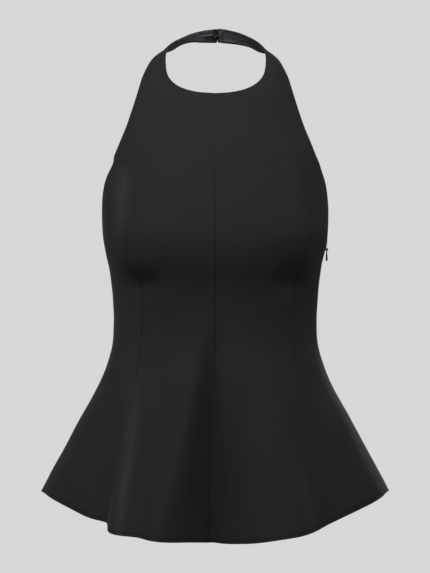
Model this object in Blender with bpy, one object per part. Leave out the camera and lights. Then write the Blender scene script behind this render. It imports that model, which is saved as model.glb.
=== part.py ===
"""A halter neck top with a flared peplum, built from its cut pieces.

The top stands as it is worn, hollow, with its front towards -Y and +Z up. The origin is the middle
of the neck strap at the nape, where the wearer's neck carries it. Left and right are the wearer's,
so the left side is +X. Sizes and tables are in millimetres and degrees; the model is in metres.
"""

import math

import bmesh
import bpy
from mathutils import Vector

MM = 0.001

# Driving sizes
NAPE_TO_AXIS = 58.0        # the strap's middle lies this far behind the upright axis of the top
CLOTH = 1.6                # crepe suiting with its fused backing
FACING = 1.0               # satin of the strap's inner side
SEAM_GAP = 0.36            # between neighbouring pieces, along the cloth
LAYER_GAP = 0.3            # between a panel and what lies on it
ALLOWANCE = 1.3            # room for the seam allowances between a panel and the zip's tapes
WAIST_DROP = 383.0         # from the nape down to the waist
HEM_DROP = 647.3           # level at which the folds have their full height
ARMHOLE_FOOT_DROP = 277.0  # from the nape down to the top of the side seam
CLOSURE_OFFSET = 3.1       # the strap's closure sits a little to the left of the nape
CLOSURE_LEAN = 0.4         # the closure's top end lies this much farther to the left than its middle
CLOSURE_CORNER = 1.1       # rounding of the strap's corners at the closure
FOLD_GROWTH = 1.15         # power by which a fold deepens towards the hem

# Rows and columns of the walls. Levels give the first drop, the last drop and the steps between.
FRONT_COLUMNS = 10
FRONT_CROWDING = 0.25      # the front's columns are this much closer at the princess seam
SIDE_COLUMNS = 6
BACK_COLUMNS = 11
FRONT_LEVELS = ((192.0, 406.0, 9), (430.0, HEM_DROP, 9))
SIDE_LEVELS = ((303.0, 430.0, 7), (454.0, 597.3, 7))
UPPER_STEPS = 2            # rows of the wall to each row of the strap's table
CORNER_SHARE = 0.07        # reach of the closure's rounded corners, as a share of the strap's width
FACING_COLUMNS = (0.08, 0.36, 0.64, 0.92)
FACING_START = 5           # row of the strap's table at which the facing starts
FACING_END_LEFT = 0.8      # from the closure to the end of the facing
FACING_END_RIGHT = 5.4

# Hook and eye. Distances along the strap are from the closure, positive towards the left half.
WIRE = 0.8
WIRE_SIDES = 8
STRAP_CLEARANCE = 0.35     # between the facing and the wire
HOOK_HALF = 0.62           # from the hook's middle to each of its two stems
HOOK_RING = 1.35           # radius of its sewing rings
HOOK_RING_PLACE = -3.4
HOOK_RING_ARC = (40.0, 270.0, 9)   # start, end and steps of the ring's turn
HOOK_STEM = (-1.6, 0.2)
HOOK_BEND_PLACE = 1.6
HOOK_BEND = 1.12           # radius of the bend, in which the eye's bar lies
HOOK_BEND_ARC = (-90.0, 90.0, 6)
HOOK_BILL = (0.0, -1.6)    # the bill runs back over the stems
HOOK_NOSE = -2.3           # and ends here
EYE_HALF = 1.9             # from the eye's middle to each of its legs
EYE_RING = 1.2
EYE_RING_PLACE = 5.2
EYE_RING_ARC = (140.0, -90.0, 9)
EYE_RING_LIFT = 0.75       # off the facing
EYE_LEGS = (
    # along, half width, lift
    (3.9, 1.9, 0.8),
    (3.1, 1.9, 0.9),
    (2.1, 1.9, 1.12),
    (1.6, 1.4, 1.12),
)

# Level sections of the worn top. width is half the section's width; front and back are its depths
# from the axis; a squareness of 2 is an ellipse, more is fuller towards the corners.
SECTIONS = (
    # name,            drop, width, front,  back, front_square, back_square
    ("collar bone",     80, 117.5,  69.0,  80.0, 2.20, 2.20),
    ("chest top",      100, 122.5,  78.0,  88.0, 2.25, 2.20),
    ("upper chest",    130, 131.6,  89.0,  93.0, 2.35, 2.25),
    ("chest",          150, 140.0,  95.5,  97.0, 2.40, 2.30),
    ("armhole",        170, 146.2, 101.5,  99.5, 2.40, 2.30),
    ("above bust",     216, 147.6, 113.5, 102.0, 2.55, 2.30),
    ("bust",           245, 147.0, 119.0, 102.0, 2.60, 2.30),
    ("low bust",       272, 145.2, 121.0, 100.2, 2.60, 2.30),
    ("bust foot",      293, 141.5, 118.5,  97.3, 2.50, 2.30),
    ("under bust",     311, 137.5, 112.5,  94.1, 2.40, 2.30),
    ("ribs",           329, 135.0, 104.5,  91.0, 2.30, 2.30),
    ("above waist",    351, 133.0,  98.0,  87.3, 2.25, 2.25),
    ("waist",          383, 131.8,  94.0,  84.0, 2.20, 2.20),
    ("below waist",    414, 134.6,  96.5,  88.0, 2.15, 2.15),
    ("high hip",       456, 149.0, 109.0, 108.0, 2.10, 2.10),
    ("hip",            500, 173.0, 124.0, 128.0, 2.05, 2.05),
    ("flare",          544, 196.5, 139.0, 145.0, 2.00, 2.00),
    ("low flare",      599, 226.2, 156.0, 165.0, 2.00, 2.00),
    ("hem",            650, 251.0, 170.0, 182.0, 2.00, 2.00),
)

# Fullness of the bust, the hollow under it and the stand of the right armhole
BUST_FORMS = (
    # name,          angle, drop, angle_spread, drop_spread, left_height, right_height
    ("bust cup",      41.0, 268.0, 17.0, 30.0,  4.0,  4.0),
    ("bust foot",     50.0, 327.0,  9.5, 15.0, -5.0, -5.0),
    ("armhole",       74.0, 206.0, 14.0, 30.0,  0.0,  1.8),
    ("over slider",   90.0, 280.0, 15.0,  5.5,  0.7,  0.0),
    ("under slider",  90.0, 300.0, 15.0, 11.0, -1.1,  0.0),
)

# Soft folds of the peplum: troughs are negative. They start below the waist and grow to the hem.
FOLDS = (
    # name,                  start_angle, hem_angle, spread, height, start_drop
    ("centre front ridge",         -12.0,     -22.0,    9.5,   24.0, 388.0),
    ("centre front trough",          0.0,      -2.5,   12.0,  -60.0, 380.0),
    ("left trough flank",            8.0,      11.0,   14.0,  -14.0, 380.0),
    ("left front ridge",            40.0,      34.0,    9.0,    6.0, 380.0),
    ("left seam trough",            58.0,      50.0,    8.0,   -6.0, 400.0),
    ("left side ridge",             72.0,      70.0,    9.0,    6.0, 390.0),
    ("right front ridge",          -43.0,     -38.0,    5.5,   13.0, 385.0),
    ("right seam trough",          -55.0,     -47.5,    4.5,  -11.0, 400.0),
    ("right side ridge",           -72.0,     -68.0,   10.0,    4.0, 390.0),
    ("left back trough",           108.0,     106.0,   10.0,   -8.0, 390.0),
    ("left back ridge",            126.0,     128.0,   11.0,    9.0, 390.0),
    ("left inner trough",          146.0,     150.0,    9.0,   -8.0, 400.0),
    ("centre back ridge",          176.0,     172.0,   12.0,    8.0, 380.0),
    ("right inner trough",        -148.0,    -146.0,   10.0,   -9.0, 400.0),
    ("right back ridge",          -124.0,    -123.0,   11.0,   10.0, 390.0),
    ("right back trough",         -106.0,    -103.0,    9.0,   -7.0, 390.0),
)

# Princess seams, by their angle from centre front
PRINCESS_SEAMS = (
    # drop, left, right
    (168, 66.0, 66.0),
    (178, 63.8, 61.2),
    (190, 60.7, 58.5),
    (205, 58.8, 56.1),
    (225, 56.6, 53.5),
    (252, 53.6, 50.4),
    (270, 53.4, 49.7),
    (285, 53.4, 50.8),
    (300, 53.1, 52.0),
    (315, 53.6, 51.9),
    (345, 54.8, 51.5),
    (395, 56.5, 53.2),
    (427, 55.6, 53.2),
    (455, 52.6, 51.1),
    (485, 49.2, 48.0),
    (520, 45.6, 44.7),
    (552, 43.9, 43.3),
    (600, 42.3, 43.0),
    (650, 42.0, 43.0),
)

# The hem's level round the top
HEM_LINE = (
    # angle, left, right
    (0, 654.2, 654.2),
    (6, 653.2, 652.8),
    (13, 650.4, 647.8),
    (20, 647.4, 643.8),
    (28, 642.8, 639.9),
    (35, 638.8, 638.2),
    (42, 633.2, 635.0),
    (43.5, 631.6, 633.8),
    (45, 630.2, 628.2),
    (51, 624.3, 623.0),
    (56, 618.2, 616.8),
    (61, 612.0, 611.0),
    (66, 606.5, 606.0),
    (72, 601.2, 601.6),
    (80, 597.6, 598.2),
    (90, 598.3, 598.9),
    (100, 599.0, 599.6),
    (112, 605.5, 606.5),
    (126, 618.0, 620.0),
    (140, 630.0, 631.0),
    (155, 639.0, 638.5),
    (168, 643.0, 643.0),
    (180, 644.0, 644.0),
)

# The armhole edge of a side front, from the princess seam (share 0) back to the side seam (share 1)
ARMHOLE_EDGE = (
    # share, drop
    (0.00, 168.0),
    (0.15, 178.0),
    (0.28, 188.0),
    (0.40, 199.0),
    (0.50, 212.0),
    (0.60, 231.0),
    (0.74, 255.0),
    (0.87, 270.0),
    (1.00, 277.0),
)

# The top edge of the back, from the side seam to centre back
BACK_EDGE = (
    # angle, drop
    (90, 277.0),
    (110, 283.0),
    (135, 290.0),
    (160, 294.5),
    (180, 296.0),
)

# Rows of the front above the princess seam that start on the centre front line
CHEST_ROWS = (
    # centre_drop, armhole_drop, armhole_angle
    (192.0, 192.0, 70.0),
    (168.0, 168.0, 66.0),
    (142.0, 149.0, 65.0),
    (116.0, 130.0, 65.2),
)

# Rows of the front from the neckline to the armhole edge, and on along the strap to the nape.
# Each end is given across (from the centre line), behind the axis and above the nape; crown is
# how far the row rises out of the straight line between them. On the left the strap leans more: its
# armhole edge lies left_sag lower, and its neck edge left_out farther out and left_lift higher.
STRAP_ROWS = (
    # name,             neck_x, neck_y, neck_z, arm_x, arm_y, arm_z, crown, left_sag, left_out, left_lift
    ("centre neck",        0.0, -73.0,  -89.3, 107.5, -48.5, -111.0,  12.0, 0.0, 0.0, 0.0),
    ("inner neck",        20.0, -71.0,  -87.7, 102.8, -44.0,  -95.0,   8.5, 0.0, 0.0, 0.0),
    ("front neck",        38.0, -63.5,  -82.9,  98.6, -37.5,  -80.0,   6.0, 0.0, 0.0, 0.0),
    ("neck corner",       52.5, -52.0,  -74.2,  94.4, -29.5,  -65.0,   4.5, 0.0, 0.2, 0.0),
    ("low side neck",     61.0, -39.0,  -61.5,  89.0, -22.0,  -52.5,   3.5, 0.0, 0.8, 0.0),
    ("side neck",         63.6, -24.0,  -44.0,  83.5, -12.5,  -41.5,   2.6, 0.0, 1.3, 0.0),
    ("neck crest",        63.4,  -7.0,  -31.0,  75.2,   0.0,  -32.3,   2.0, 0.0, 1.0, 0.0),
    ("behind crest",      61.8,   9.0,  -20.8,  67.3,  18.0,  -28.5,   1.6, 0.6, 0.4, 0.3),
    ("neck side back",    55.4,  28.0,  -12.2,  58.0,  36.0,  -23.1,   1.4, 1.8, 0.0, 0.8),
    ("back neck",         45.2,  42.0,   -5.1,  45.5,  49.5,  -14.2,   1.4, 3.0, 0.0, 1.2),
    ("near nape",         31.8,  51.0,    1.7,  31.0,  57.0,   -9.8,   1.3, 3.2, 0.0, 1.1),
    ("nape side",         15.0,  55.6,    6.3,  15.0,  59.6,  -10.0,   1.2, 0.9, 0.0, 1.1),
    ("nape",               0.0,  57.0,    8.5,   0.0,  60.3,  -10.1,   1.2,-0.6, 0.0, 0.4),
)

# The zip and its slider, in the left side seam
ZIP_ANGLE = 90.0
ZIP_TOP_DROP = 279.0
ZIP_CHAIN_DROP = 292.0     # the closed chain starts under the slider
ZIP_END_DROP = 490.0
ZIP_LEVELS = ((303.0, 430.0, 6), (445.0, ZIP_END_DROP, 3))
ZIP_TAPE = 0.8
ZIP_COIL = 2.4             # depth of the closed chain
ZIP_COIL_HALF = 2.0        # half its width
ZIP_COLUMNS = (-11.0, -3.8, -2.2, -1.9, 1.9, 2.2, 3.8, 11.0)
SLIDER_DROP = 285.4        # the slider's neck and the pull's pivot
SLIDER_SLIT = 2.6          # the seam stands this wide open round the slider's neck
SLIT_DROPS = (281.0, 282.4, 288.4, 289.8)
PIVOT_OUT = 1.75           # the pivot lies this far out of the cloth
LOOP_INNER = 0.95
LOOP_OUTER = 2.05
LOOP_WIDTH = 1.5
SLIDER_NECK_DEPTH = 4.0    # from the cloth's outer face in to the slider's body
SLIDER_NECK_TOP = 1.6      # above the pivot
SLIDER_NECK_FOOT = 2.0     # below it
SLIDER_DEPTH = (3.6, 6.2)  # the body lies between these depths under the cloth's outer face
SLIDER_HALF_WIDTH = 3.1
SLIDER_TOP = 4.2
SLIDER_FOOT = 4.4
PULL_LENGTH = 15.2
PULL_WIDTH = 5.2
PULL_EYE_HALF = 0.6         # half the tab's thickness at its eye
PULL_RIM = 0.5             # of the tab's top bar, below and above the pivot
PULL_TOP = 0.5
PULL_PLAY = 0.35           # beside the slider's loop
PULL_DROP_PLAY = 0.45      # under it

# Half of the pull tab's outline, from its top bar down to its tip
PULL_OUTLINE = (
    # share of half width, height over the pivot, half thickness
    (0.80, PULL_TOP, PULL_EYE_HALF),
    (0.86, -4.2, PULL_EYE_HALF),
    (1.00, -9.0, 1.05),
    (0.92, -13.2, 1.15),
    (0.55, -PULL_LENGTH, 0.85),
)

# Colour (linear), roughness and metallic value of each finish
CREPE = ("black crepe", (0.016, 0.0145, 0.0165), 0.82, 0.0)
SATIN = ("black satin", (0.020, 0.019, 0.024), 0.32, 0.0)
TAPE = ("zip tape", (0.013, 0.012, 0.013), 0.75, 0.0)
LACQUER = ("black lacquered metal", (0.012, 0.012, 0.012), 0.35, 0.9)


# ---------------------------------------------------------------------------
# Curves through tables
# ---------------------------------------------------------------------------

def table_curve(rows, x_column, y_column):
    """Return a smooth function through two columns of a table."""
    xs = [row[x_column] for row in rows]
    ys = [row[y_column] for row in rows]
    slopes = []
    for i in range(len(xs)):
        low = max(i - 1, 0)
        high = min(i + 1, len(xs) - 1)
        slopes.append((ys[high] - ys[low]) / (xs[high] - xs[low]))

    def value(x):
        x = min(max(x, xs[0]), xs[-1])
        i = 0
        while i < len(xs) - 2 and x > xs[i + 1]:
            i += 1
        step = xs[i + 1] - xs[i]
        t = (x - xs[i]) / step
        return hermite(ys[i], slopes[i] * step, ys[i + 1], slopes[i + 1] * step, t)

    return value


def hermite(start, start_slope, end, end_slope, t):
    """Cubic from start to end, for numbers or vectors."""
    t2 = t * t
    t3 = t2 * t
    return (start * (2 * t3 - 3 * t2 + 1) + start_slope * (t3 - 2 * t2 + t)
            + end * (3 * t2 - 2 * t3) + end_slope * (t3 - t2))


section_width = table_curve(SECTIONS, 1, 2)
section_front = table_curve(SECTIONS, 1, 3)
section_back = table_curve(SECTIONS, 1, 4)
section_front_square = table_curve(SECTIONS, 1, 5)
section_back_square = table_curve(SECTIONS, 1, 6)
seam_angle_left = table_curve(PRINCESS_SEAMS, 0, 1)
seam_angle_right = table_curve(PRINCESS_SEAMS, 0, 2)
hem_line_left = table_curve(HEM_LINE, 0, 1)
hem_line_right = table_curve(HEM_LINE, 0, 2)
armhole_edge = table_curve(ARMHOLE_EDGE, 0, 1)
back_edge = table_curve(BACK_EDGE, 0, 1)


# ---------------------------------------------------------------------------
# The worn surface
# ---------------------------------------------------------------------------

def bell(distance, spread):
    return math.exp(-(distance / spread) ** 2)


def turn_between(angle, other):
    """Smallest turn between two angles, in degrees."""
    return (angle - other + 180.0) % 360.0 - 180.0


def form_height(angle, drop):
    """Height of the bust and of the peplum's folds over the plain sections."""
    height = 0.0
    for _, form_angle, form_drop, angle_spread, drop_spread, left_form, right_form in BUST_FORMS:
        form = left_form if angle > 0 else right_form
        across = bell(abs(angle) - form_angle, angle_spread)
        height += form * across * bell(drop - form_drop, drop_spread)
    for _, start_angle, hem_angle, spread, fold, start in FOLDS:
        if drop > start:
            share = (drop - start) / (HEM_DROP - start)
            middle = start_angle + (hem_angle - start_angle) * share
            across = bell(turn_between(angle, middle), spread * (0.5 + 0.5 * share))
            height += fold * share ** FOLD_GROWTH * across
    return height


def surface_point(angle, drop):
    """A point on the outer face of the cloth, by angle round the axis and drop below the nape."""
    turn = math.radians(angle)
    sine = math.sin(turn)
    cosine = math.cos(turn)
    if cosine > 0:
        depth = section_front(drop)
        square = section_front_square(drop)
    else:
        depth = section_back(drop)
        square = section_back_square(drop)
    reach = abs(sine / section_width(drop)) ** square + abs(cosine / depth) ** square
    radius = reach ** (-1.0 / square) + form_height(angle, drop)
    return Vector((radius * sine, -NAPE_TO_AXIS - radius * cosine, -drop))


def surface_normal(angle, drop):
    """Outward normal of the cloth, shared by the pieces on both sides of a seam."""
    across = surface_point(angle + 0.8, drop) - surface_point(angle - 0.8, drop)
    up = surface_point(angle, drop - 2.0) - surface_point(angle, drop + 2.0)
    return across.cross(up).normalized()


def hem_line(angle):
    """Drop of the hem at an angle."""
    return hem_line_left(angle) if angle > 0 else hem_line_right(-angle)


def hem_level(angle, level):
    """Drop of a row at an angle: level above the waist, fanned out below it to the hem line."""
    if level <= WAIST_DROP:
        return level
    share = (level - WAIST_DROP) / (HEM_DROP - WAIST_DROP)
    return WAIST_DROP + share * (hem_line(angle) - WAIST_DROP)


def seam_angle(side, drop):
    """Angle of the princess seam: side is 1 on the left and -1 on the right."""
    return side * (seam_angle_left(drop) if side > 0 else seam_angle_right(drop))


def gap_angle(angle, drop, width=SEAM_GAP):
    """Half of a seam's gap as a turn round the axis."""
    point = surface_point(angle, drop)
    radius = math.hypot(point.x, point.y + NAPE_TO_AXIS)
    return math.degrees(0.5 * width / radius)


# ---------------------------------------------------------------------------
# Building solids
# ---------------------------------------------------------------------------

def add_object(name, mesh_data, finish):
    """Give a finished bmesh a name and its own material."""
    mesh = bpy.data.meshes.new(name)
    mesh_data.to_mesh(mesh)
    mesh_data.free()
    mesh.shade_smooth()
    mesh.set_sharp_from_angle(angle=math.radians(40))
    obj = bpy.data.objects.new(name, mesh)
    bpy.context.scene.collection.objects.link(obj)
    label, colour, roughness, metallic = finish
    material = bpy.data.materials.new(name + " " + label)
    material.use_nodes = True
    shader = material.node_tree.nodes["Principled BSDF"]
    shader.inputs["Base Color"].default_value = (*colour, 1.0)
    shader.inputs["Roughness"].default_value = roughness
    shader.inputs["Metallic"].default_value = metallic
    mesh.materials.append(material)
    return obj


def wall(name, outer, inner, finish, keep=None):
    """Close two matching grids of points into one wall; keep(row, column) picks its cells."""
    mesh = bmesh.new()
    rows = len(outer)
    columns = len(outer[0])
    faces = [(i, j) for i in range(rows - 1) for j in range(columns - 1) if keep is None or keep(i, j)]
    used = {(i + a, j + b) for i, j in faces for a in (0, 1) for b in (0, 1)}
    top = {key: mesh.verts.new(outer[key[0]][key[1]] * MM) for key in sorted(used)}
    under = {key: mesh.verts.new(inner[key[0]][key[1]] * MM) for key in sorted(used)}
    edges = {}
    for i, j in faces:
        ring = ((i, j), (i, j + 1), (i + 1, j + 1), (i + 1, j))
        mesh.faces.new([top[key] for key in ring])
        mesh.faces.new([under[key] for key in reversed(ring)])
        for start, end in zip(ring, ring[1:] + ring[:1]):
            if (end, start) in edges:
                del edges[end, start]
            else:
                edges[start, end] = True
    for start, end in edges:
        mesh.faces.new((top[end], top[start], under[start], under[end]))
    bmesh.ops.recalc_face_normals(mesh, faces=mesh.faces)
    return add_object(name, mesh, finish)


def cloth_wall(name, places, finish=CREPE):
    """Wall of cloth through rows of (angle, drop) places on the worn surface."""
    outer = [[surface_point(*place) for place in row] for row in places]
    inner = [[surface_point(*place) - CLOTH * surface_normal(*place) for place in row] for row in places]
    return wall(name, outer, inner, finish)


def levels(start, end, count):
    return [start + (end - start) * i / count for i in range(count + 1)]


# ---------------------------------------------------------------------------
# Fronts, with their halves of the neck strap
# ---------------------------------------------------------------------------

def strap_point(row, share, side):
    """A point of a strap row as if on the left, before its crown is added."""
    _, neck_x, neck_y, neck_z, arm_x, arm_y, arm_z, _, left_sag, left_out, left_lift = row
    if side > 0:
        arm_z -= left_sag
        neck_x += left_out
        neck_z += left_lift
    neck = Vector((neck_x, neck_y - NAPE_TO_AXIS, neck_z))
    arm = Vector((arm_x, arm_y - NAPE_TO_AXIS, arm_z))
    return neck.lerp(arm, share)


def strap_crown(index, share, side):
    """How far, and which way, a strap row rises out of its straight line."""
    before = STRAP_ROWS[max(index - 1, 0)]
    after = STRAP_ROWS[min(index + 1, len(STRAP_ROWS) - 1)]
    along = strap_point(after, 0.5, side) - strap_point(before, 0.5, side)
    across = strap_point(STRAP_ROWS[index], 1.0, side) - strap_point(STRAP_ROWS[index], 0.0, side)
    outward = across.cross(along).normalized()
    return outward * STRAP_ROWS[index][7] * 4.0 * share * (1.0 - share)


def upper_control(share, side):
    """Points, from above the bust to the nape, at one share of the way from neck to armhole."""
    points = []
    for centre_drop, armhole_drop, armhole_angle in CHEST_ROWS:
        drop = centre_drop + (armhole_drop - centre_drop) * share
        points.append(surface_point(side * armhole_angle * share, drop))
    for index, row in enumerate(STRAP_ROWS):
        point = strap_point(row, share, side) + strap_crown(index, share, side)
        if index == len(STRAP_ROWS) - 1:
            corner = bell(share, CORNER_SHARE) + bell(1.0 - share, CORNER_SHARE)
            point.x += 0.5 * SEAM_GAP + CLOSURE_CORNER * corner
            point.x += side * (CLOSURE_OFFSET + CLOSURE_LEAN * (1.0 - 2.0 * share))
        point.x *= side
        points.append(point)
    return points


def upper_grid(side, shares, first, last, steps):
    """Rows of the front between two control rows, as smooth curves from row to row."""
    middle = upper_control(0.5, side)
    run = [0.0]
    for before, after in zip(middle, middle[1:]):
        run.append(run[-1] + (after - before).length)
    columns = []
    for share in shares:
        points = upper_control(share, side)
        column = []
        for k in range(first, last):
            for step in range(steps):
                column.append(along_rows(points, run, k, step / steps, share))
        column.append(points[last])
        columns.append(column)
    return [list(row) for row in zip(*columns)]


def along_rows(points, run, k, t, share):
    """A point a share t of the way from control row k to the next."""
    step = run[k + 1] - run[k]

    def slope(i):
        low = max(i - 1, 0)
        high = min(i + 1, len(points) - 1)
        smooth = (points[high] - points[low]) * (step / (run[high] - run[low]))
        if i != len(CHEST_ROWS):
            return smooth
        corner = points[k + 1] - points[k]
        return corner.lerp(smooth, min(3.0 * share, 1.0))

    return hermite(points[k], slope(k), points[k + 1], slope(k + 1), t)


def grid_normals(grid, side, on_centre):
    """Outward normals of a grid whose rows run from the neck edge and climb to the nape."""
    normals = []
    for i, row in enumerate(grid):
        line = []
        below = grid[max(i - 1, 0)]
        above = grid[min(i + 1, len(grid) - 1)]
        for j in range(len(row)):
            across = row[min(j + 1, len(row) - 1)] - row[max(j - 1, 0)]
            normal = side * across.cross(above[j] - below[j])
            if j == 0 and i < on_centre:
                normal.x = 0.0
            line.append(normal.normalized())
        normals.append(line)
    return normals


def front_levels():
    """Levels of the front's rows along the princess seam, from the armhole down to the hem."""
    return [CHEST_ROWS[1][0]] + levels(*FRONT_LEVELS[0]) + levels(*FRONT_LEVELS[1])


def seam_drop(side, level):
    """Drop of a row of the front where it meets the princess seam."""
    return hem_level(seam_angle(side, HEM_DROP), level)


def make_front(name, side):
    """One front from hem to nape: side is 1 on the left and -1 on the right."""
    shares = [u + FRONT_CROWDING * u * (1.0 - u) for u in levels(0.0, 1.0, FRONT_COLUMNS)]
    outer = []
    inner = []
    for level in reversed(front_levels()):
        edge = seam_angle(side, seam_drop(side, level))
        row = []
        for share in shares:
            start = side * gap_angle(0.0, level)
            end = edge - side * gap_angle(edge, level)
            angle = start + (end - start) * share
            row.append((angle, hem_level(seam_angle(side, HEM_DROP) * share, level)))
        outer.append([surface_point(*place) for place in row])
        inner.append([surface_point(*place) - CLOTH * surface_normal(*place) for place in row])
    upper = upper_grid(side, shares, 1, len(CHEST_ROWS) + len(STRAP_ROWS) - 1, UPPER_STEPS)
    on_centre = UPPER_STEPS * (len(CHEST_ROWS) - 1) + 1
    for i, row in enumerate(upper):
        if i < on_centre:
            row[0] = row[0] + Vector((side * 0.5 * SEAM_GAP, 0.0, 0.0))
    normals = grid_normals(upper, side, on_centre)
    for row, line in zip(upper[1:], normals[1:]):
        outer.append(row)
        inner.append([point - CLOTH * normal for point, normal in zip(row, line)])
    return wall(name, outer, inner, CREPE)


# ---------------------------------------------------------------------------
# Side fronts and backs
# ---------------------------------------------------------------------------

def side_seam_gap(side, drop):
    """Half gap at the side seam, opened round the zip slider's neck on the left."""
    width = SEAM_GAP
    if side > 0 and SLIT_DROPS[0] < drop < SLIT_DROPS[3]:
        width = SLIDER_SLIT
    return gap_angle(90.0, drop, width)


def side_levels(top):
    """Drops of the rows down the side seam, with rows of their own round the slider."""
    return [top] + list(SLIT_DROPS) + levels(*SIDE_LEVELS[0]) + levels(*SIDE_LEVELS[1])


def make_side_front(name, side):
    """Piece between the princess seam and the side seam, with the armhole edge on top."""
    shares = levels(0.0, 1.0, SIDE_COLUMNS)
    seam_runs = runs([seam_drop(side, level) for level in front_levels()])
    side_runs = runs(side_levels(ARMHOLE_FOOT_DROP))
    seam_foot = abs(seam_angle(side, HEM_DROP))
    places = []
    for seam_run, side_run in zip(seam_runs, side_runs):
        row = []
        for share in shares:
            run = seam_run + (side_run - seam_run) * share
            top = armhole_edge(share)
            foot = hem_line(side * (seam_foot + (90.0 - seam_foot) * share))
            drop = top + run * (foot - top)
            row.append((column_angle(side, share, drop), drop))
        places.append(row)
    return cloth_wall(name, places)


def runs(drops):
    """Each drop as a share of the way from the first to the last."""
    return [(drop - drops[0]) / (drops[-1] - drops[0]) for drop in drops]


def column_angle(side, share, drop):
    """Angle of a side front's column, clear of the seams at both ends."""
    seam = seam_angle(side, drop)
    start = seam + side * gap_angle(seam, drop)
    end = side * (90.0 - side_seam_gap(side, drop))
    return start + (end - start) * share


def make_back(name, side):
    """Half of the back, from the side seam to centre back."""
    shares = levels(0.0, 1.0, BACK_COLUMNS)
    drops = side_levels(ARMHOLE_FOOT_DROP)
    places = []
    for drop, run in zip(drops, runs(drops)):
        row = []
        for share in shares:
            start = 90.0 + side_seam_gap(side, drop)
            end = 180.0 - gap_angle(180.0, drop)
            angle = start + (end - start) * share
            top = back_edge(angle)
            row.append((side * angle, top + run * (hem_line(side * angle) - top)))
        places.append(row)
    return cloth_wall(name, places)


# ---------------------------------------------------------------------------
# Neck facing, hook and eye
# ---------------------------------------------------------------------------

def make_facing(name, side, end_inset):
    """Satin on the inner side of the strap, from beside the neck to short of the closure."""
    first = len(CHEST_ROWS) + FACING_START
    last = len(CHEST_ROWS) + len(STRAP_ROWS) - 1
    grid = upper_grid(side, FACING_COLUMNS, first, last, UPPER_STEPS)
    normals = grid_normals(grid, side, 0)
    for j, point in enumerate(grid[-1]):
        back = (grid[-2][j] - point).normalized()
        grid[-1][j] = point + end_inset * back
    outer = [[p - (CLOTH + LAYER_GAP) * n for p, n in zip(*pair)] for pair in zip(grid, normals)]
    inner = [[p - (CLOTH + LAYER_GAP + FACING) * n for p, n in zip(*pair)] for pair in zip(grid, normals)]
    return wall(name, outer, inner, SATIN)


def wire(name, points, radius, finish):
    """A closed round wire along a route, with capped ends."""
    mesh = bmesh.new()
    rings = []
    direction = (points[1] - points[0]).normalized()
    lean = direction.orthogonal().normalized()
    for i, point in enumerate(points):
        before = points[max(i - 1, 0)]
        after = points[min(i + 1, len(points) - 1)]
        direction = (after - before).normalized()
        lean = (lean - direction * lean.dot(direction)).normalized()
        other = direction.cross(lean)
        ring = []
        for k in range(WIRE_SIDES):
            turn = math.tau * k / WIRE_SIDES
            offset = math.cos(turn) * lean + math.sin(turn) * other
            ring.append(mesh.verts.new((point + radius * offset) * MM))
        rings.append(ring)
    for low, high in zip(rings, rings[1:]):
        for k in range(WIRE_SIDES):
            n = (k + 1) % WIRE_SIDES
            mesh.faces.new((low[k], low[n], high[n], high[k]))
    mesh.faces.new(list(reversed(rings[0])))
    mesh.faces.new(rings[-1])
    bmesh.ops.recalc_face_normals(mesh, faces=mesh.faces)
    return add_object(name, mesh, finish)


def arc(centre, radius, start, end, count, plane):
    """Points of an arc in the plane of two unit vectors."""
    first, second = plane
    points = []
    for i in range(count + 1):
        turn = math.radians(start + (end - start) * i / count)
        points.append(centre + radius * (math.cos(turn) * first + math.sin(turn) * second))
    return points


def closure_frame():
    """Origin and axes at the closure, on the strap's inner face: along, up and towards the neck."""
    top = strap_point(STRAP_ROWS[-1], 0.0, 1)
    foot = strap_point(STRAP_ROWS[-1], 1.0, 1)
    up = (top - foot).normalized()
    along = Vector((1.0, 0.0, 0.0))
    neckward = along.cross(up) * -1.0
    if neckward.y > 0:
        neckward = -neckward
    origin = 0.5 * (top + foot) + Vector((CLOSURE_OFFSET, 0.0, 0.0)) + CLOTH * neckward
    return origin, along, up, neckward


def wire_base():
    """Centre of the lowest wire at the closure, and the closure's axes."""
    origin, along, up, neckward = closure_frame()
    return origin + (FACING + STRAP_CLEARANCE + 0.5 * WIRE) * neckward, along, up, neckward


def mirrored_route(half_route):
    """Route of a wire with two like halves: half_route(sign) runs from a sewing ring to the middle."""
    return half_route(1) + list(reversed(half_route(-1)))


def make_hook():
    """Wire hook on the right half: two sewing rings, two stems and the bill bent back over them."""
    base, along, up, neckward = wire_base()

    def half_route(sign):
        centre = base + HOOK_RING_PLACE * along + sign * (HOOK_HALF + HOOK_RING) * up
        side = base + sign * HOOK_HALF * up
        points = arc(centre, HOOK_RING, *HOOK_RING_ARC, (along, sign * up))
        points += [side + x * along for x in HOOK_STEM]
        turn_centre = side + HOOK_BEND_PLACE * along + HOOK_BEND * neckward
        points += arc(turn_centre, HOOK_BEND, *HOOK_BEND_ARC, (along, neckward))
        points += [side + x * along + 2 * HOOK_BEND * neckward for x in HOOK_BILL]
        if sign > 0:
            points.append(base + HOOK_NOSE * along + 2 * HOOK_BEND * neckward)
        return points

    return wire("neck_hook", mirrored_route(half_route), 0.5 * WIRE, LACQUER)


def make_eye():
    """Wire eye on the left half: its bar lies in the hook's bend."""
    base, along, up, neckward = wire_base()

    def half_route(sign):
        centre = base + EYE_RING_PLACE * along + sign * (EYE_HALF + EYE_RING) * up + EYE_RING_LIFT * neckward
        points = arc(centre, EYE_RING, *EYE_RING_ARC, (along, sign * up))
        points += [base + x * along + sign * half * up + lift * neckward for x, half, lift in EYE_LEGS]
        return points

    return wire("neck_eye", mirrored_route(half_route), 0.5 * WIRE, LACQUER)


# ---------------------------------------------------------------------------
# Zip
# ---------------------------------------------------------------------------

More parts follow.
